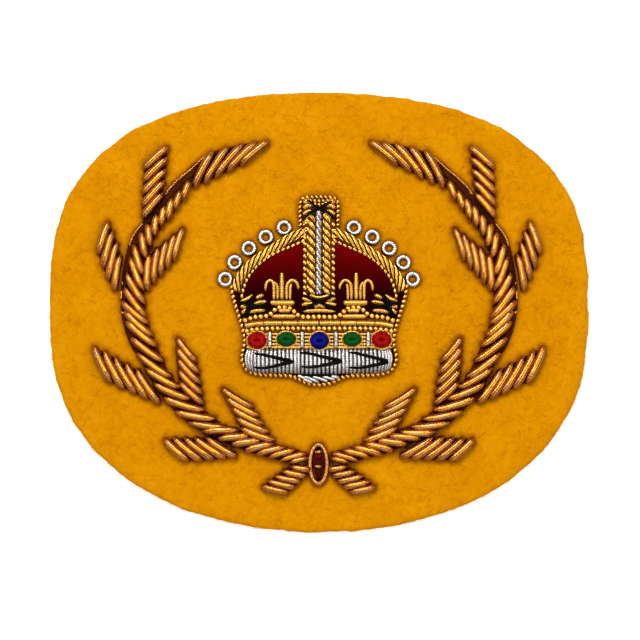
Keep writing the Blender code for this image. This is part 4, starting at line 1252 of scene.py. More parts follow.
# %% The tree for pearl purl
def pearl_purl_tree():
    """Leaning beads at even steps along a line, painted shade at their ends, on a dark core of painted shade.
    """
    tree, given, out = new_tree("Pearl purl", {
        "Pitch": "Float", "Bead Length": "Float", "Bead Width": "Float", "Lean": "Float",
        "Core Half": "Float", "Material": "Material", "Core Material": "Material",
    })
    line = step(tree, "GeometryNodeMeshToCurve", given["Geometry"])

    long, wide = given["Bead Length"], given["Bead Width"]
    bead = feed(tree, "GeometryNodeMeshUVSphere", 10, 7, 0.5)
    size = vector_of(tree, long, wide, calc(tree, "MULTIPLY", wide, 0.75))
    bead = step(tree, "GeometryNodeTransform", bead, None, Scale=size)
    here = parts_of(tree, add(tree, "GeometryNodeInputPosition").outputs[0])
    # Painted shade towards a bead's ends, through the finish's valley.
    valley = calc(tree, "DIVIDE", calc(tree, "ABSOLUTE", here["X"]), calc(tree, "MULTIPLY", long, 0.5))
    bead = store(tree, bead, "valley", calc(tree, "POWER", valley, 3.0))
    bead = step(tree, "GeometryNodeSetMaterial", bead, None, Material=given["Material"])

    facing = add(tree, "FunctionNodeAlignRotationToVector", axis="X", pivot_axis="Z")
    join(tree, add(tree, "GeometryNodeInputTangent").outputs[0], facing.inputs["Vector"])
    lean = feed(tree, "FunctionNodeEulerToRotation", vector_of(tree, z=given["Lean"]))
    turned = feed(tree, "FunctionNodeRotateRotation", facing.outputs[0], lean, rotation_space="LOCAL")
    steps = resample(tree, line, given["Pitch"])
    beads = step(tree, "GeometryNodeInstanceOnPoints", steps, None, Instance=bead, Rotation=turned)
    beads = store(tree, beads, "tone", chance(tree), "INSTANCE")
    beads = step(tree, "GeometryNodeSetShadeSmooth", step(tree, "GeometryNodeRealizeInstances", beads))

    # The dark core: painted shade in the gaps between the beads.
    core = store(tree, resample(tree, line, given["Pitch"]), "valley", 1.0)
    core = sweep(tree, core, 6, given["Core Half"])
    core = step(tree, "GeometryNodeSetMaterial", core, None, Material=given["Core Material"])
    both = add(tree, "GeometryNodeJoinGeometry")
    join(tree, core, both.inputs[0])
    join(tree, beads, both.inputs[0])
    join(tree, both.outputs[0], out["Geometry"])
    return tree


PEARL_PURL_TREE = pearl_purl_tree()
PURL_PITCH = 0.78 * MM
PURL_WIDTH = 1.0 * MM
PURL_LENGTH = 0.72 * MM


def lay_purl(name, *paths, pitch=PURL_PITCH, width=PURL_WIDTH, length=PURL_LENGTH, lean=35.0):
    """Pearl purl along these paths."""
    # The core is brown thread: painted shade between the beads.
    values = {"Pitch": pitch, "Bead Length": length, "Bead Width": width, "Lean": math.radians(lean),
              "Core Half": 0.28 * width, "Material": BRIGHT_GOLD, "Core Material": BROWN}
    lines = [wire_line(path, width / 2, 0.5) for path in paths]
    return grow(name, edges_object(lines), PEARL_PURL_TREE, values)


print("The pearl purl tree has", len(PEARL_PURL_TREE.nodes), "nodes")

# %% Purl round the crown and its block
OUTLINE_HEIGHT = 3.2 * MM
BLOCK_HEIGHT = 3.4 * MM

outline = lay_purl("outline_beads", at_height(across_the_middle(edge_path(BASE_EDGE)), OUTLINE_HEIGHT))
place(outline, "bright_gold", "outline_purl")
block = lay_purl("block_beads", at_height(across_the_middle(edge_path(BLOCK_EDGE)[::-1]), BLOCK_HEIGHT),
                 pitch=0.68 * MM, width=1.02 * MM, length=0.62 * MM)
place(block, "bright_gold", "block_purl")

# %% [markdown]
# ## Ropes and cords
#
# The arches and the upright are laid rope: strands that climb over the rope from one side to the other.
# Only the upper half of such a rope shows, so each strand is half a turn of a screw: it starts low at
# one side, rises over the middle and sinks at the other side. Every strand is itself two fine wires,
# twisted, and a dark cord below them is painted shade in the gaps between the strands. The silver cord
# is thin enough to be built whole, as two wires wound round each other.

# %% The strands of a rope
ROPE_SEAT = 4.0 * MM
STRAND_POINTS = 10
SHORTEST_STRAND = 0.5


def strand_place(path, distance, s, wire, round_half, rise, wire_half):
    """A place on one wire of a strand. s runs from -1 at the rope's one side to 1 at the other."""
    angle = s * math.pi / 2
    twist = math.pi * (wire + 0.55 * s)
    out = round_half * math.sin(angle)
    aside = out + 0.95 * wire_half * math.cos(twist) * math.cos(angle * 0.6)
    p = point_along(path, distance) + across_at(path, distance) * aside
    p.z = ROPE_SEAT + rise * math.cos(angle) + 0.95 * wire_half * math.sin(twist)
    return p


def rope_strands(path, width, rise, lean, spacing, wire_half):
    """The fine wires of a rope along a path. Its strands climb to the left of the way."""
    length = path_length(path)
    round_half = width / 2 - wire_half
    reach = math.pi * round_half / math.tan(math.radians(lean))
    extra = int(reach / 2 / spacing)
    lines = []
    for i in range(-extra, int(length / spacing) + extra + 1):
        start = (i + 0.5) * spacing
        low = max(-1.0, -2 * start / reach)
        high = min(1.0, 2 * (length - start) / reach)
        if high - low < SHORTEST_STRAND:
            continue
        tone = random.random()
        for wire in range(2):
            points = []
            for k in range(STRAND_POINTS + 1):
                s = low + (high - low) * k / STRAND_POINTS
                points.append(strand_place(path, start + s * reach / 2, s, wire, round_half, rise, wire_half))
            shade = min(1.0, max(0.0, tone + random.uniform(-0.2, 0.2)))
            lines.append(wire_line(points, wire_half, shade))
    return lines


# %% A rope's core, and two wires wound round each other
def rope_core(name, path, half, height):
    """A dark cord under a rope: painted shade in the gaps between its strands."""
    line = wire_line(at_height(path, height), half, 0.6)
    return lay_thread(name, [line], BROWN, sides=12, pitch=1.2 * MM, fullness=30.0)


def wound_pair(path, offset, half, lead, turn_points=12):
    """Two wires wound round each other along a path."""
    length = path_length(path)
    count = int(length / lead * turn_points)
    lines = []
    for phase in (0.0, math.pi):
        points = []
        for i in range(count + 1):
            distance = length * i / count
            turn = phase - 2 * math.pi * distance / lead
            p = point_along(path, distance) + across_at(path, distance) * offset * math.cos(turn)
            p.z += offset * math.sin(turn)
            points.append(p)
        lines.append(wire_line(points, half, 0.5))
    return lines


# %% Arches
ARCH_ROPE = [spot(*p) for p in (
    (305, 231.5), (290, 238), (277, 246), (264, 254.5), (252, 263), (243, 273), (237.5, 283), (235, 291),
)]
ARCH_WIDTH = 1.54 * MM
ARCH_RISE = 0.42 * MM
ARCH_LEAN = 31
ARCH_STEP = 0.4 * MM
ARCH_PURL = {"pitch": 0.83 * MM, "width": 0.50 * MM, "length": 0.86 * MM}

arch_path = smooth_path(ARCH_ROPE, ARCH_STEP)
arch_wire = smooth_path(ARCH_WIRE, ARCH_STEP)
arch_gap = [p.lerp(nearest(arch_path, p), 0.36) for p in arch_wire]
for side_name, side in SIDES:
    strands = rope_strands(arch_path, ARCH_WIDTH, ARCH_RISE, ARCH_LEAN, 1.16 * MM, 0.125 * MM)
    strands = mirrored_lines(strands, side)
    rope = lay_thread("arch_rope", strands, BRIGHT_GOLD, sides=6, pitch=0.5 * MM, fullness=6.0)
    # A dark core under the rope, and a thin dark cord between the rope and the purl: painted shade.
    core = rope_core("core", on_side(arch_path, side), 0.66 * MM, 3.5 * MM)
    gap = rope_core("gap", on_side(arch_gap, side), 0.26 * MM, 3.85 * MM)
    wire = on_side(at_height(arch_wire, 4.15 * MM), side)
    purl = lay_purl("arch_purl", wire, lean=-14.0 * side, **ARCH_PURL)
    place(merge("arch_cord_" + side_name, [rope, core, gap, purl]), "bright_gold", "arch_" + side_name)

# %% The upright's tables
UPRIGHT_FOOT = (295.0, 280.0, 265.0, 250.0, 235.0)
PILLAR_RISE = 0.40 * MM
PILLAR_LEAN = 40
PILLAR_PURL = {"pitch": 0.905 * MM, "width": 0.62 * MM, "length": 0.92 * MM}
Pillar = namedtuple("Pillar", "side column top width spacing purl_column purl_top caps")
LEFT_CAPS = (
    ((302.8, 223.6), (305.8, 220.8), (309, 220.0)), ((302.6, 226.2), (305.4, 223.4), (308.4, 222.6)),
    ((303.0, 231.8), (305.5, 228.6), (308.5, 227.6)), ((303.4, 234.4), (305.8, 231.2), (308.4, 230.2)),
    ((304.6, 219.8), (307.6, 216.8), (311, 215.6), (314.4, 217.6)),
)
RIGHT_CAPS = (((323.2, 214.8), (326.2, 213.6), (329, 215.2), (330.8, 218.8)),)
PILLARS = (
    Pillar("left", 311.2, 216.5, 1.48 * MM, 1.29 * MM, 304.9, 237.5, LEFT_CAPS),
    Pillar("right", 326.4, 214.0, 1.38 * MM, 1.15 * MM, 333.2, 224.5, RIGHT_CAPS),
)

# %% The upright
for pillar in PILLARS:
    path = [spot(pillar.column, row) for row in (*UPRIGHT_FOOT, pillar.top)]
    strands = rope_strands(path, pillar.width, PILLAR_RISE, PILLAR_LEAN, pillar.spacing, 0.19 * MM)
    rope = lay_thread("pillar_rope", strands, BRIGHT_GOLD, sides=7, pitch=0.4 * MM, fullness=8.0)
    # A dark core: painted shade between the strands.
    core = rope_core("core", path, pillar.width / 2 - 0.16 * MM, 3.68 * MM)
    line = [spot(pillar.purl_column, row, 4.2 * MM) for row in (294.0, 275.0, 255.0, pillar.purl_top)]
    purl = lay_purl("pillar_beads", line, **PILLAR_PURL)
    caps = [wire_line(photo_path(cap, 0.3 * MM, 4.35 * MM), 0.22 * MM) for cap in pillar.caps]
    caps = lay_wire("caps", caps, BRIGHT_GOLD, sides=8, depth=0.05)
    place(merge("upright_" + pillar.side, [rope, core, purl, caps]), "bright_gold", "pillar_" + pillar.side)

cord = [spot(318.7, row, 4.62 * MM) for row in (294.5, 270.0, 240.0, 212.5)]
cord = wound_pair(cord, offset=0.23 * MM, half=0.32 * MM, lead=2.2 * MM)
cord = lay_wire("silver_twist", cord, SILVER, sides=8, pitch=0.26 * MM, depth=0.16, fullness=30.0)
knob = wire_line([spot(318.6, row, 4.66 * MM) for row in (216.8, 213.2, 209.4)], 0.47 * MM, 0.7)
knob = lay_wire("knob", [knob], SILVER, sides=12, pitch=0.2 * MM, depth=0.08, fullness=2.6)
place(merge("silver_twist", [cord, knob]), "silver", "silver_cord")

# %% [markdown]
# ## Rings
#
# Ten little rings of silver bullion stand along the arches. Each is a short coil bent round until its
# ends meet, held down by two black stitches across the wire.

# %% Rings and their stitches
RING_PIXELS = ((284.1, 227.7), (265.8, 237.1), (248.9, 248.3), (234.8, 262.4), (225.4, 279.2))
RING_REACH = 0.895 * MM
RING_HALF = 0.41 * MM
RING_HEIGHT = 2.95 * MM
STITCH_HALF = 0.09 * MM
STITCH_ARC = ((0.52, 2.7), (0.66, 3.12), (0.92, 3.30), (1.20, 3.12), (1.36, 2.62))
STITCH_TURNS = ((40, 80), (190, 240))


def ring_stitch(middle, turn):
    """A stitch from the ring's hole over the wire to its outer side."""
    out = Vector((math.cos(math.radians(turn)), math.sin(math.radians(turn)), 0.0))
    points = [middle + out * reach * MM + Vector((0.0, 0.0, height * MM)) for reach, height in STITCH_ARC]
    return wire_line(points, STITCH_HALF, 0.2)


ring_middles = [spot(*pixel) for pixel in RING_PIXELS]
ring_middles += twin(ring_middles)
for number, middle in enumerate(ring_middles, 1):
    circle = wire_line(oval(middle, (RING_REACH, RING_REACH), RING_HEIGHT, 32), RING_HALF, 0.7, True)
    ring = lay_wire("ring_coil", [circle], SILVER, pitch=0.23 * MM, taper=0.0)
    turns = [random.uniform(*limits) for limits in STITCH_TURNS]
    stitches = [ring_stitch(middle, turn) for turn in turns]
    stitches = lay_thread("ring_stitches", stitches, BLACK, sides=6, pitch=0.5 * MM)
    place(merge(f"silver_ring_{number:02d}", [ring, stitches]), "silver", f"ring_{number:02d}")

# %% [markdown]
# ## Fleurs, crosses and the headband
#
# These are cut lengths of gold purl, bent to shape and sewn down. Every line comes from the photo's
# pixels on the left side. The right side mirrors it, apart from the middle pieces.

# %% Helpers for cut purl
PURL_HALF = 0.38 * MM
PURL_STEP = 0.25 * MM


def purl_line(pixels, half, height, sag=0.0):
    """A cut length through these pixels, lowered at its ends by sag."""
    points = photo_path(pixels, PURL_STEP)
    last = len(points) - 1
    heights = [height - sag * abs(2 * i / last - 1) ** 3 for i in range(len(points))]
    return wire_line(lifted(points, heights), half)


def cut_purl(name, lines, sides=10, fullness=9.0, **coil):
    """Cut lengths of bright gold purl."""
    return lay_wire(name, lines, BRIGHT_GOLD, sides=sides, pitch=0.26 * MM, fullness=fullness, **coil)


# %% Fleurs
FLEUR = (
    (0.42, (281.9, 271.8), (281.9, 285), (281.9, 300)),
    (0.31, (265.5, 291), (265.8, 286), (267.3, 282), (270.4, 280.2), (273.0, 282.2), (273.9, 287),
     (273.9, 300)),
    (0.26, (273.9, 281.4), (276.6, 284.6), (277.6, 289), (277.6, 300)),
    (0.31, (298.5, 289.6), (297.6, 284.6), (295.0, 281), (291.8, 280.2), (288.6, 282.3), (286.8, 287),
     (286.7, 300)),
    (0.26, (291.8, 283.4), (290.6, 287), (290.3, 292), (290.2, 300)),
)
FLEUR_COLLAR = ((269.8, 302.4), (276, 302.8), (283, 302.8), (290, 302.8), (295.3, 302.4))
FLEUR_HEIGHT = 4.30 * MM
COLLAR_HALF = 0.50 * MM
COLLAR_HEIGHT = 4.45 * MM

for side_name, side in SIDES:
    lines = [purl_line(pixels, half * MM, FLEUR_HEIGHT) for half, *pixels in FLEUR]
    lines.append(purl_line(FLEUR_COLLAR, COLLAR_HALF, COLLAR_HEIGHT))
    fleur = cut_purl("fleur_purl_" + side_name, mirrored_lines(lines, side))
    place(fleur, "bright_gold", "fleur_" + side_name)


# %% Helpers for crosses
def black_cross(stitches, height, half, dive=0.75 * MM):
    """Crossed black stitches through pixels, the second over the first. Their ends dive into the cloth."""
    lines = []
    for i, pixels in enumerate(stitches):
        points = photo_path(pixels, PURL_STEP)
        last = len(points) - 1
        lift = [height + 0.12 * MM * i - dive * abs(2 * k / last - 1) ** 6 for k in range(len(points))]
        lines.append(wire_line(lifted(points, lift), half, 0.3 * i))
    return lines


def cross_purl(rows, half=PURL_HALF, height=4.25 * MM, sag=0.12 * MM, side=-1):
    """The gold of a cross: short cut lengths."""
    lines = [purl_line(pixels, half, height, sag) for pixels in rows]
    return cut_purl("purl", mirrored_lines(lines, side), fullness=4.0)


def cross_stitches(lines, side=-1):
    """The black thread of a cross."""
    return lay_thread("stitches", mirrored_lines(lines, side), BLACK, pitch=0.6 * MM)


# %% The crosses along the band
HALF_CROSS = (
    ((240.3, 301.6), (246.5, 299.2), (253.8, 294.6)), ((255.6, 298.4), (259.5, 296.2), (264, 294.8)),
    ((253.4, 303.9), (260, 302.3), (267.2, 301.3)), ((248.8, 312.4), (256, 310.6), (266, 310.2)),
    ((240.5, 306.2), (244, 306.6), (247.8, 306.3)), ((241.8, 313.2), (244.2, 311.2), (246.4, 309)),
)
HALF_STITCHES = (
    ((255.2, 291.5), (251.8, 300.5), (248.6, 308.5), (244.8, 317.2)),
    ((238.5, 302.4), (247, 303.9), (256, 306), (267.8, 305.0)),
)
CENTRE_CROSS = (
    ((301.8, 298), (306, 299.2), (312, 300.2)), ((301.2, 304.9), (306.5, 303.9), (314.3, 303.3)),
    ((336, 298), (332, 299.2), (326, 300.2)), ((336.8, 304.9), (331.5, 303.9), (323.7, 303.3)),
    ((309.2, 294.9), (313.5, 296.6), (319.3, 297.5), (325, 296.6), (329.6, 294.9)),
    ((313.6, 307.0), (319.5, 305.2), (325.5, 307.0)),
    ((303, 311.6), (311, 310.6), (319, 310.4), (327, 310.6), (335.5, 311.6)),
)
CENTRE_STITCHES = (
    ((303.5, 294.5), (311, 298.5), (319, 301.7), (327, 305.4), (335, 309)),
    ((335, 294.5), (327, 298.5), (319, 301.7), (311, 305.4), (303, 309)),
)

for side_name, side in SIDES:
    purl = cross_purl(HALF_CROSS, side=side)
    stitches = cross_stitches(black_cross(HALF_STITCHES, 4.80 * MM, 0.24 * MM), side)
    place(merge("half_cross_" + side_name, [purl, stitches]), "bright_gold", "cross_" + side_name)
purl = cross_purl(CENTRE_CROSS)
stitches = cross_stitches(black_cross(CENTRE_STITCHES, 4.82 * MM, 0.22 * MM))
place(merge("centre_cross", [purl, stitches]), "bright_gold", "cross_centre")

# %% The cross on the top block
TOP_CROSS = (
    ((303.6, 203.4), (307, 201.2), (310.8, 202.6)), ((303, 208.6), (308, 205.4), (312.8, 207.0)),
    ((302.8, 214.6), (307.5, 211.8), (312.4, 210.7)), ((334.8, 203.4), (331.2, 201.2), (327.2, 202.6)),
    ((335.2, 208.4), (330, 205.2), (325.2, 206.8)), ((335.2, 214.8), (331, 212.0), (326.6, 210.5)),
)
TOP_BEADS = (
    ((306.2, 200.0), (312, 200.9), (319, 201.2), (326, 200.9), (332, 200.0)),
    ((311.6, 203.0), (315, 204.3), (319.2, 204.9), (323.2, 204.3), (326.6, 203.0)),
)
TOP_STITCHES = (
    ((304, 200), (310.1, 201.8), (315.5, 206.4), (320, 208.8), (325.4, 211.1), (329.9, 214.9),
     (335, 219.4)),
    ((333.8, 199.8), (328, 203.2), (322.3, 207.5), (317.3, 210), (311.9, 211.9), (307.4, 215.6),
     (303.2, 220.2)),
)
GROUND_COLUMNS = (305.6, 309, 312.4, 315.7, 319, 322.3, 325.6, 329, 332.2)
GROUND_ROWS = (199, 220, 245, 270, 294)

purl = cross_purl(TOP_CROSS, 0.42 * MM, 4.35 * MM, 0.1 * MM)
beads = [photo_path(row, 0.3 * MM, 4.3 * MM) for row in TOP_BEADS]
beads = lay_purl("beads", *beads, pitch=0.58 * MM, width=0.68 * MM, length=0.52 * MM)
stitches = cross_stitches(black_cross(TOP_STITCHES, 4.95 * MM, 0.21 * MM, 1.15 * MM))
ground = [[spot(column, row, 3.80 * MM) for row in GROUND_ROWS] for column in GROUND_COLUMNS]
ground = lay_thread("ground", [wire_line(line, 0.44 * MM, 1.0) for line in ground], BROWN, fullness=40.0)
place(merge("block_cross", [purl, beads, stitches, ground]), "bright_gold", "top_cross")

# %% The headband's beads
BAND_HEIGHT = 4.2 * MM
BEAD_ROW = (
    (245.4, 320.2), (251, 318), (257, 316.8), (264.5, 316.3), (269.5, 314.6), (273.2, 311.4), (277.0, 308.0),
    (282, 307.2), (288, 307.4), (292.8, 310.2), (297.3, 314.6), (302.5, 316.7), (309.5, 316.9), (319, 316.7),
)
LOWER_ROW = 328.4


def droop(column):
    """How much lower than its middle the band lies at a column, in pixels."""
    return 3.0 * abs((column - 318.8) / 73.5) ** 8


upper = photo_path(BEAD_ROW, 0.3 * MM, BAND_HEIGHT)
upper += twin(upper[:-1][::-1])
upper = lay_purl("upper_beads", upper, pitch=0.82 * MM, width=0.92 * MM, length=0.90 * MM)
place(upper, "bright_gold", "band_upper_purl")
lower = [spot(column, LOWER_ROW + droop(column), BAND_HEIGHT) for column in range(247, 392, 3)]
lower = lay_purl("lower_beads", lower, pitch=0.78 * MM, width=0.88 * MM, length=0.86 * MM)
place(lower, "bright_gold", "band_lower_purl")

# %% The headband's bars
BAR_CUTS = (245.0, 263.5, 282.0, 297.5, 319.0, 340.5, 356.0, 374.5, 393.0)
BAR_ROW = 323.0
BAR_OVERLAP = 0.3
FEET = (
    (((271.2, 316.5), (278, 316.3), (288, 316.3), (296.4, 316.5)), 0.44 * MM, 4.36 * MM),
    (((278.2, 310.9), (284.2, 310.4), (290.8, 310.9)), 0.38 * MM, 4.3 * MM),
)

bars = []
for start, stop in zip(BAR_CUTS, BAR_CUTS[1:]):
    columns = [start - BAR_OVERLAP + (stop - start + 2 * BAR_OVERLAP) * i / 6 for i in range(7)]
    bars.append(purl_line([(column, BAR_ROW + droop(column)) for column in columns], 0.50 * MM, 4.3 * MM))
bars = cut_purl("bars", bars, fullness=30.0)
# Dark brown cords under the rows of the headband: painted shade in the gaps between the rows.
ground = []
for row in (319.4, 326.0, 331.4):
    line = [spot(column, row + droop(column), 3.98 * MM) for column in range(246, 393, 4)]
    ground.append(wire_line(line, 0.27 * MM, 1.0))
ground = lay_thread("ground", ground, BROWN, fullness=30.0)
feet = []
for side_name, side in SIDES:
    feet += mirrored_lines([purl_line(*foot) for foot in FEET], side)
feet = cut_purl("feet", feet, fullness=6.0)
place(merge("headband", [bars, feet, ground]), "bright_gold", "band_bar")

# %% [markdown]
# ## Jewels
#
# The five jewels are satin stitch: silk laid over a small oval pad. The threads run from the rim over
# the swell and go down together in a short slit in the middle. Between the jewels lie short gold
# strips and four upright silver bars.

# %% The jewels' bed
Jewel = namedtuple("Jewel", "node slot silk column row reach rise")
JEWELS = (
    Jewel("jewel_red_left", "red_silk", RED, 257.2, 340.4, 9.4, 8.5),
    Jewel("jewel_green_left", "green_silk", GREEN, 286.4, 339.2, 9.5, 7.1),
    Jewel("jewel_blue", "blue_silk", BLUE, 319.4, 340.7, 9.3, 8.7),
    Jewel("jewel_green_right", "green_silk", GREEN, 352.1, 339.3, 9.3, 7.1),
    Jewel("jewel_red_right", "red_silk", RED, 381.4, 339.8, 9.6, 8.3),
)
SILVER_BARS = (269.9, 302.2, 336.0, 368.2)
STRIP_ROWS = (334.1, 337.4, 341.0, 344.3, 347.2)
SPECK_ROWS = (337.0, 341.2, 345.0)
BED_FACE = 4.15 * MM
BEZEL_HEIGHT = BED_FACE + 0.1 * MM
BAR_HEIGHT = BED_FACE + 0.34 * MM
SPECK_HEIGHT = BED_FACE + 0.66 * MM

bezels = []
for jewel in JEWELS:
    reach = ((jewel.reach + 0.9) * PIXEL, (jewel.rise + 0.8) * PIXEL)
    rim = oval(spot(jewel.column, jewel.row), reach, BEZEL_HEIGHT, 40)
    bezels.append(wire_line(rim, 0.16 * MM, 0.8, True))
bezels = cut_purl("bezels", bezels, sides=8, taper=0.0)
stops = [246.0, *SILVER_BARS, 392.5]
strips = []
for low, high in zip(stops, stops[1:]):
    for row in STRIP_ROWS:
        strips.append(purl_line([(low + (high - low) * i / 4, row) for i in range(5)], 0.25 * MM, BED_FACE))
strips = cut_purl("strips", strips, sides=8, fullness=14.0)
bars, specks = [], []
for column in SILVER_BARS:
    bars.append(wire_line([spot(column, 331.2 + 16.8 * i / 8, BAR_HEIGHT) for i in range(9)], 0.38 * MM, 0.8))
    for row in SPECK_ROWS:
        ends = [spot(column - 0.8, row - 0.9, SPECK_HEIGHT), spot(column + 0.8, row + 0.9, SPECK_HEIGHT)]
        specks.append(wire_line(ends, 0.10 * MM, 0.2))
bars = lay_wire("bars", bars, SILVER, pitch=0.26 * MM, depth=0.12, fullness=9.0)
specks = lay_thread("specks", specks, BLACK, sides=6, pitch=0.5 * MM)
place(merge("jewel_ground", [strips, bezels, bars, specks]), "bright_gold", "jewel_bed")

# %% Satin stitch
JEWEL_SEAT = 4.15 * MM
JEWEL_RISE = 1.0 * MM
SILK_THREADS = 46
SILK_HALF = 0.135 * MM
SILK_STEPS = 8
SLIT_SHARE = 0.20
PAD_RINGS = ((0.96, -0.35), (0.96, 0.05), (0.85, 0.48), (0.66, 0.74), (0.42, 0.70), (0.20, 0.50))
PAD_SIDES = 28


def silk_height(t):
    """A thread's height, from 0 at the rim to 1 in the slit, into which it dips."""
    bow = math.sin(math.pi * min(1.0, 0.04 + t * 0.80))
    return JEWEL_SEAT + JEWEL_RISE * (0.02 + 0.98 * bow) * 0.92 - max(0.0, t - 0.85) * 1.2 * MM


def silk_threads(silk, middle, reach, rise):
    """Silk threads from the rim to a slit in the middle."""
    shares = [k / SILK_STEPS for k in range(SILK_STEPS + 1)]
    heights = [silk_height(t) for t in shares]
    halves = [SILK_HALF * (1.0 - 0.45 * t) for t in shares]
    threads = []
    for i in range(SILK_THREADS):
        turn = 2 * math.pi * (i + random.uniform(-0.25, 0.25)) / SILK_THREADS
        rim = Vector((reach * math.cos(turn), rise * math.sin(turn), 0.0))
        slit = Vector((SLIT_SHARE * reach * math.cos(turn), 0.0, 0.0))
        points = [middle + rim.lerp(slit, t) for t in shares]
        threads.append(wire_line(lifted(points, heights), halves))
    return lay_thread("silk", threads, silk, sides=6, fullness=14.0)


def silk_pad(silk, middle, reach, rise):
    """The pad below the threads, which shows between them."""
    builder = bmesh.new()
    rings = []
    for share, height in PAD_RINGS:
        ring = oval(middle, (reach * share, rise * share), JEWEL_SEAT + height * JEWEL_RISE, PAD_SIDES)
        rings.append([builder.verts.new(point) for point in ring])
    bridge(builder, rings)
    builder.faces.new(rings[-1])
    builder.faces.new(rings[0][::-1])
    bmesh.ops.recalc_face_normals(builder, faces=builder.faces)
    return smooth_object("pad", builder, silk)


for jewel in JEWELS:
    size = (spot(jewel.column, jewel.row), jewel.reach * PIXEL, jewel.rise * PIXEL)
    pieces = [silk_threads(jewel.silk, *size), silk_pad(jewel.silk, *size)]
    place(merge("silk_" + jewel.node, pieces), jewel.slot, jewel.node, fill=0.9)

# %% [markdown]
# ## Ermine
#
# The base of the crown stands for white fur: upright strips of silver purl over a long roll of padding,
# with black stitches for the tails. The padding makes three soft swells, and the strips at the ends
# lean round the corners.

# %% The ermine's tables
RIB_COLUMNS = (
    246.0, 248.6, 251.5, 254.9, 258.9, 263.0, 267.1, 271.2, 275.3, 279.4, 283.4, 287.4, 291.3, 295.3, 298.7,
    302.6, 306.7, 310.9, 315.1, 319.2, 323.3, 327.4, 331.5, 335.5, 339.5, 343.3, 347.0,
    350.9, 354.9, 359.0, 363.1, 367.2, 371.3, 375.4, 379.4, 383.1, 386.2, 388.9, 391.2,
)
SEAM_COLUMNS = (295.3, 298.7, 347.0)
SEAM_LIFT = 0.12 * MM
SWELLS = ((244.0, 295.3), (295.3, 347.0), (347.0, 393.5))
ERMINE_TOP, ERMINE_FOOT = 348.2, 373.4
ERMINE_SEAT = 3.85 * MM
TAILS = (
    ((253.6, 353.2), (263, 354.6), (275, 357.3), (284, 359.5), (293.2, 361.3)),
    ((253.8, 367.0), (260, 368), (268, 367.4), (276, 365.8), (284, 363.6), (293.4, 361.6)),
    ((299.0, 352.5), (307, 352.8), (316, 354.8), (325, 357), (333, 358.8), (342, 360.9)),
    ((300.0, 366.0), (309, 367), (318, 366.3), (326, 364.6), (334, 362.9), (342, 361.3)),
    ((348, 352.6), (355, 352.9), (363, 354.6), (372, 356.9), (380, 359.2), (388.5, 361.4)),
    ((348, 367), (355, 367.6), (363, 367.3), (372, 365.6), (380, 363.8), (388.5, 361.8)),
)
TAIL_MIDDLE = spot(0, 361.5).y
ROLL_COLUMNS = (247, 265, 283, 301, 319, 337, 355, 373, 391)
ROLL_ROWS = (351.5, 356, 360.5, 365, 369.5)


def ermine_crest(column):
    """The height of a rib's middle over its swell of the padding."""
    for low, high in SWELLS:
        if low <= column <= high:
            t = (column - low) / (high - low) * 2 - 1
            return (4.62 - 0.22 * t * t) * MM
    return 4.4 * MM


# %% Ermine strips and tails
def ermine_rib(column):
    """One strip, from the band to the foot. The end ones are shorter, finer and lean round the corner."""
    side = (column - 318.8) / 74.0
    lean = 3.4 * side**7
    short = 5.0 * abs(side) ** 12
    foot = ERMINE_FOOT + 1.2 * max(0.0, 1.0 - (side / 0.3) ** 4)
    is_seam = column in SEAM_COLUMNS
    crest = ermine_crest(column) + (SEAM_LIFT if is_seam else 0.0)
    half = (0.25 if abs(side) > 0.90 else 0.32) * MM
    points = []
    for k in range(9):
        t = k / 4 - 1.0
        row = (ERMINE_TOP + foot - short - t * (foot - ERMINE_TOP - short)) / 2
        p = spot(column - lean * t * t + (0 if is_seam else random.uniform(-0.2, 0.2)), row)
        p.z = ERMINE_SEAT + (crest - ERMINE_SEAT) * (1.0 - abs(t) ** 3.0)
        points.append(p)
    return wire_line(points, half * random.uniform(0.92, 1.06))


def ermine_tail(pixels):
    """A black stitch over the strips, thicker towards one end, where the tails meet."""
    points = photo_path(pixels, 0.4 * MM)
    last = len(points) - 1
    for k, p in enumerate(points):
        p.z = ermine_crest(p.x / PIXEL + AXIS_COLUMN) + 0.44 * MM - 0.5 * MM * abs(2 * k / last - 1) ** 8
        p.z -= 0.35 * MM * abs((p.y - TAIL_MIDDLE) / (12 * PIXEL)) ** 2.6
    return wire_line(points, [0.19 * MM + 0.15 * MM * (k / last) ** 1.5 for k in range(last + 1)], 0.3)


ribs = [ermine_rib(column) for column in RIB_COLUMNS]
ribs = lay_wire("ribs", ribs, SILVER, pitch=0.26 * MM, depth=0.14, fullness=16.0)
tails = [ermine_tail(pixels) for pixels in TAILS]
tails = lay_thread("tails", tails, BLACK, pitch=0.7 * MM, fullness=8.0)
roll = [[spot(column, row, 3.75 * MM) for column in ROLL_COLUMNS] for row in ROLL_ROWS]
roll = [wire_line(line, 0.42 * MM, 0.0) for line in roll]
roll = lay_thread("roll", roll, GREY, pitch=1.0 * MM, fullness=20.0)
place(merge("ermine_silver", [ribs, tails, roll]), "silver", "ermine_band")

# %% The drop below the ermine
DROP = (
    ((297.5, 375.6), (301, 376.6), (305.5, 378.8)),
    ((302.5, 376.0), (308, 377.7), (313.5, 379.8), (319.2, 382.3)),
    ((303.5, 379.2), (308, 380.8), (312.5, 382.6)),
    ((312.0, 376.2), (317, 377.6), (323, 379.6), (328, 381.3)),
    ((322.0, 376.2), (327, 377.4), (332, 378.8), (335.5, 379.8)),
    ((331, 376.0), (335, 376.8), (339.5, 377.6)),
)


def drop_row(column):
    """The row of the black thread over the drop, which sinks a little from left to right."""
    return 375.2 + 0.9 * ((column - 320) / 20) ** 2 * (-1 if column < 320 else 1) * 0.4


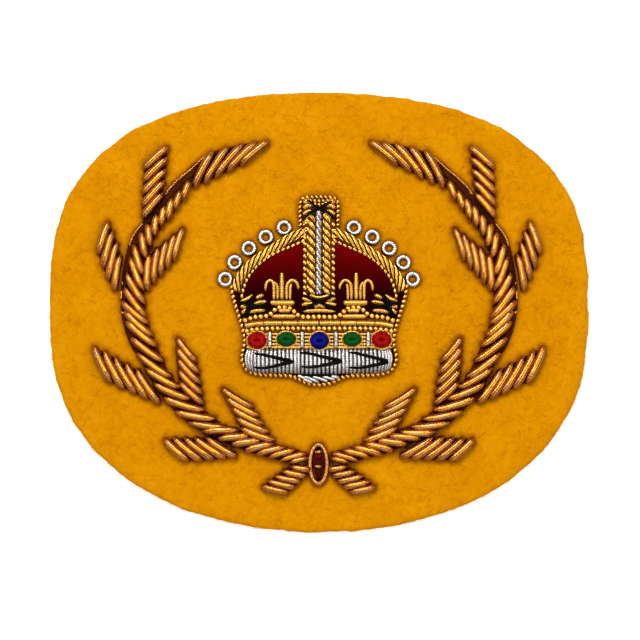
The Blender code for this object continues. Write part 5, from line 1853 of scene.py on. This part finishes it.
drops = [purl_line(pixels, 0.31 * MM, 4.05 * MM, 0.15 * MM) for pixels in DROP]
drops = lay_wire("drops", drops, SILVER, sides=8, pitch=0.26 * MM, fullness=6.0)
thread = [spot(column, drop_row(column), 4.0 * MM) for column in range(298, 342, 4)]
thread = [wire_line(thread, 0.32 * MM, 0.1)]
thread = lay_thread("thread", thread, BLACK, sides=6, pitch=0.7 * MM, fullness=8.0)
place(merge("drop_silver", [drops, thread]), "silver", "ermine_drop")

# %% [markdown]
# ## Painted contact shadow on the felt
#
# Round the stitching the felt is painted darker and redder than elsewhere, as a contact shadow. So every
# point of the felt and of its nap gets a value that falls off with its distance from the nearest wire or
# thread that comes down to the felt, and the finish mixes the shadow's red brown in by it.

# %% The painted contact shadow round the stitching
CONTACT_SHADE_REACH = 0.27 * MM
CONTACT_SHADE_DEPTH = 0.85
CONTACT_SHADE_CELL = 0.16 * MM
CONTACT_SHADE_HEIGHT = FACE_HEIGHT + 0.75 * MM


def low_places(pieces):
    """Where these pieces come close to the felt, on a fine grid."""
    cells = set()
    for piece in pieces:
        for vertex in piece.data.vertices:
            if vertex.co.z < CONTACT_SHADE_HEIGHT:
                cells.add((round(vertex.co.x / CONTACT_SHADE_CELL), round(vertex.co.y / CONTACT_SHADE_CELL)))
    return [Vector((i * CONTACT_SHADE_CELL, j * CONTACT_SHADE_CELL, 0.0)) for i, j in sorted(cells)]


def contact_shade(mesh, finder):
    """Stores the painted contact shadow of every point of a mesh."""
    depths = []
    for vertex in mesh.vertices:
        gap = finder.find(Vector((vertex.co.x, vertex.co.y, 0.0)))[2]
        depths.append(CONTACT_SHADE_DEPTH * math.exp(-gap / CONTACT_SHADE_REACH) if gap < 6 * CONTACT_SHADE_REACH else 0.0)
    mesh.attributes.new("contact_shade", "FLOAT", "POINT").data.foreach_set("value", depths)


stitched = low_places([piece for piece in PLACED if piece not in (felt, nap)])
finder = near_finder([stitched])
contact_shade(felt.data, finder)
contact_shade(nap.data, finder)
print("The stitching comes down to the felt in", len(stitched), "places")

# %% [markdown]
# ## The floor
#
# The photo has a plain white ground with no shadow on it. A wide white floor that glows a little gives
# the same, and isn't part of the badge.

# %% Floor
FLOOR_HALF = 1.5
FLOOR_HEIGHT = -0.02 * MM
FLOOR_GLOW = 0.45

floor_mesh = bpy.data.meshes.new("floor")
corners = [(x * FLOOR_HALF, y * FLOOR_HALF, FLOOR_HEIGHT) for x, y in ((-1, -1), (1, -1), (1, 1), (-1, 1))]
floor_mesh.from_pydata(corners, [], [(0, 1, 2, 3)])
paper, shader = blank_material("white_paper", 0.0, 0.9, Base_Color=(0.93, 0.93, 0.93, 1.0),
                               Emission_Color=(1.0, 1.0, 1.0, 1.0), Emission_Strength=FLOOR_GLOW)
floor_mesh.materials.append(paper)
show("floor", floor_mesh)
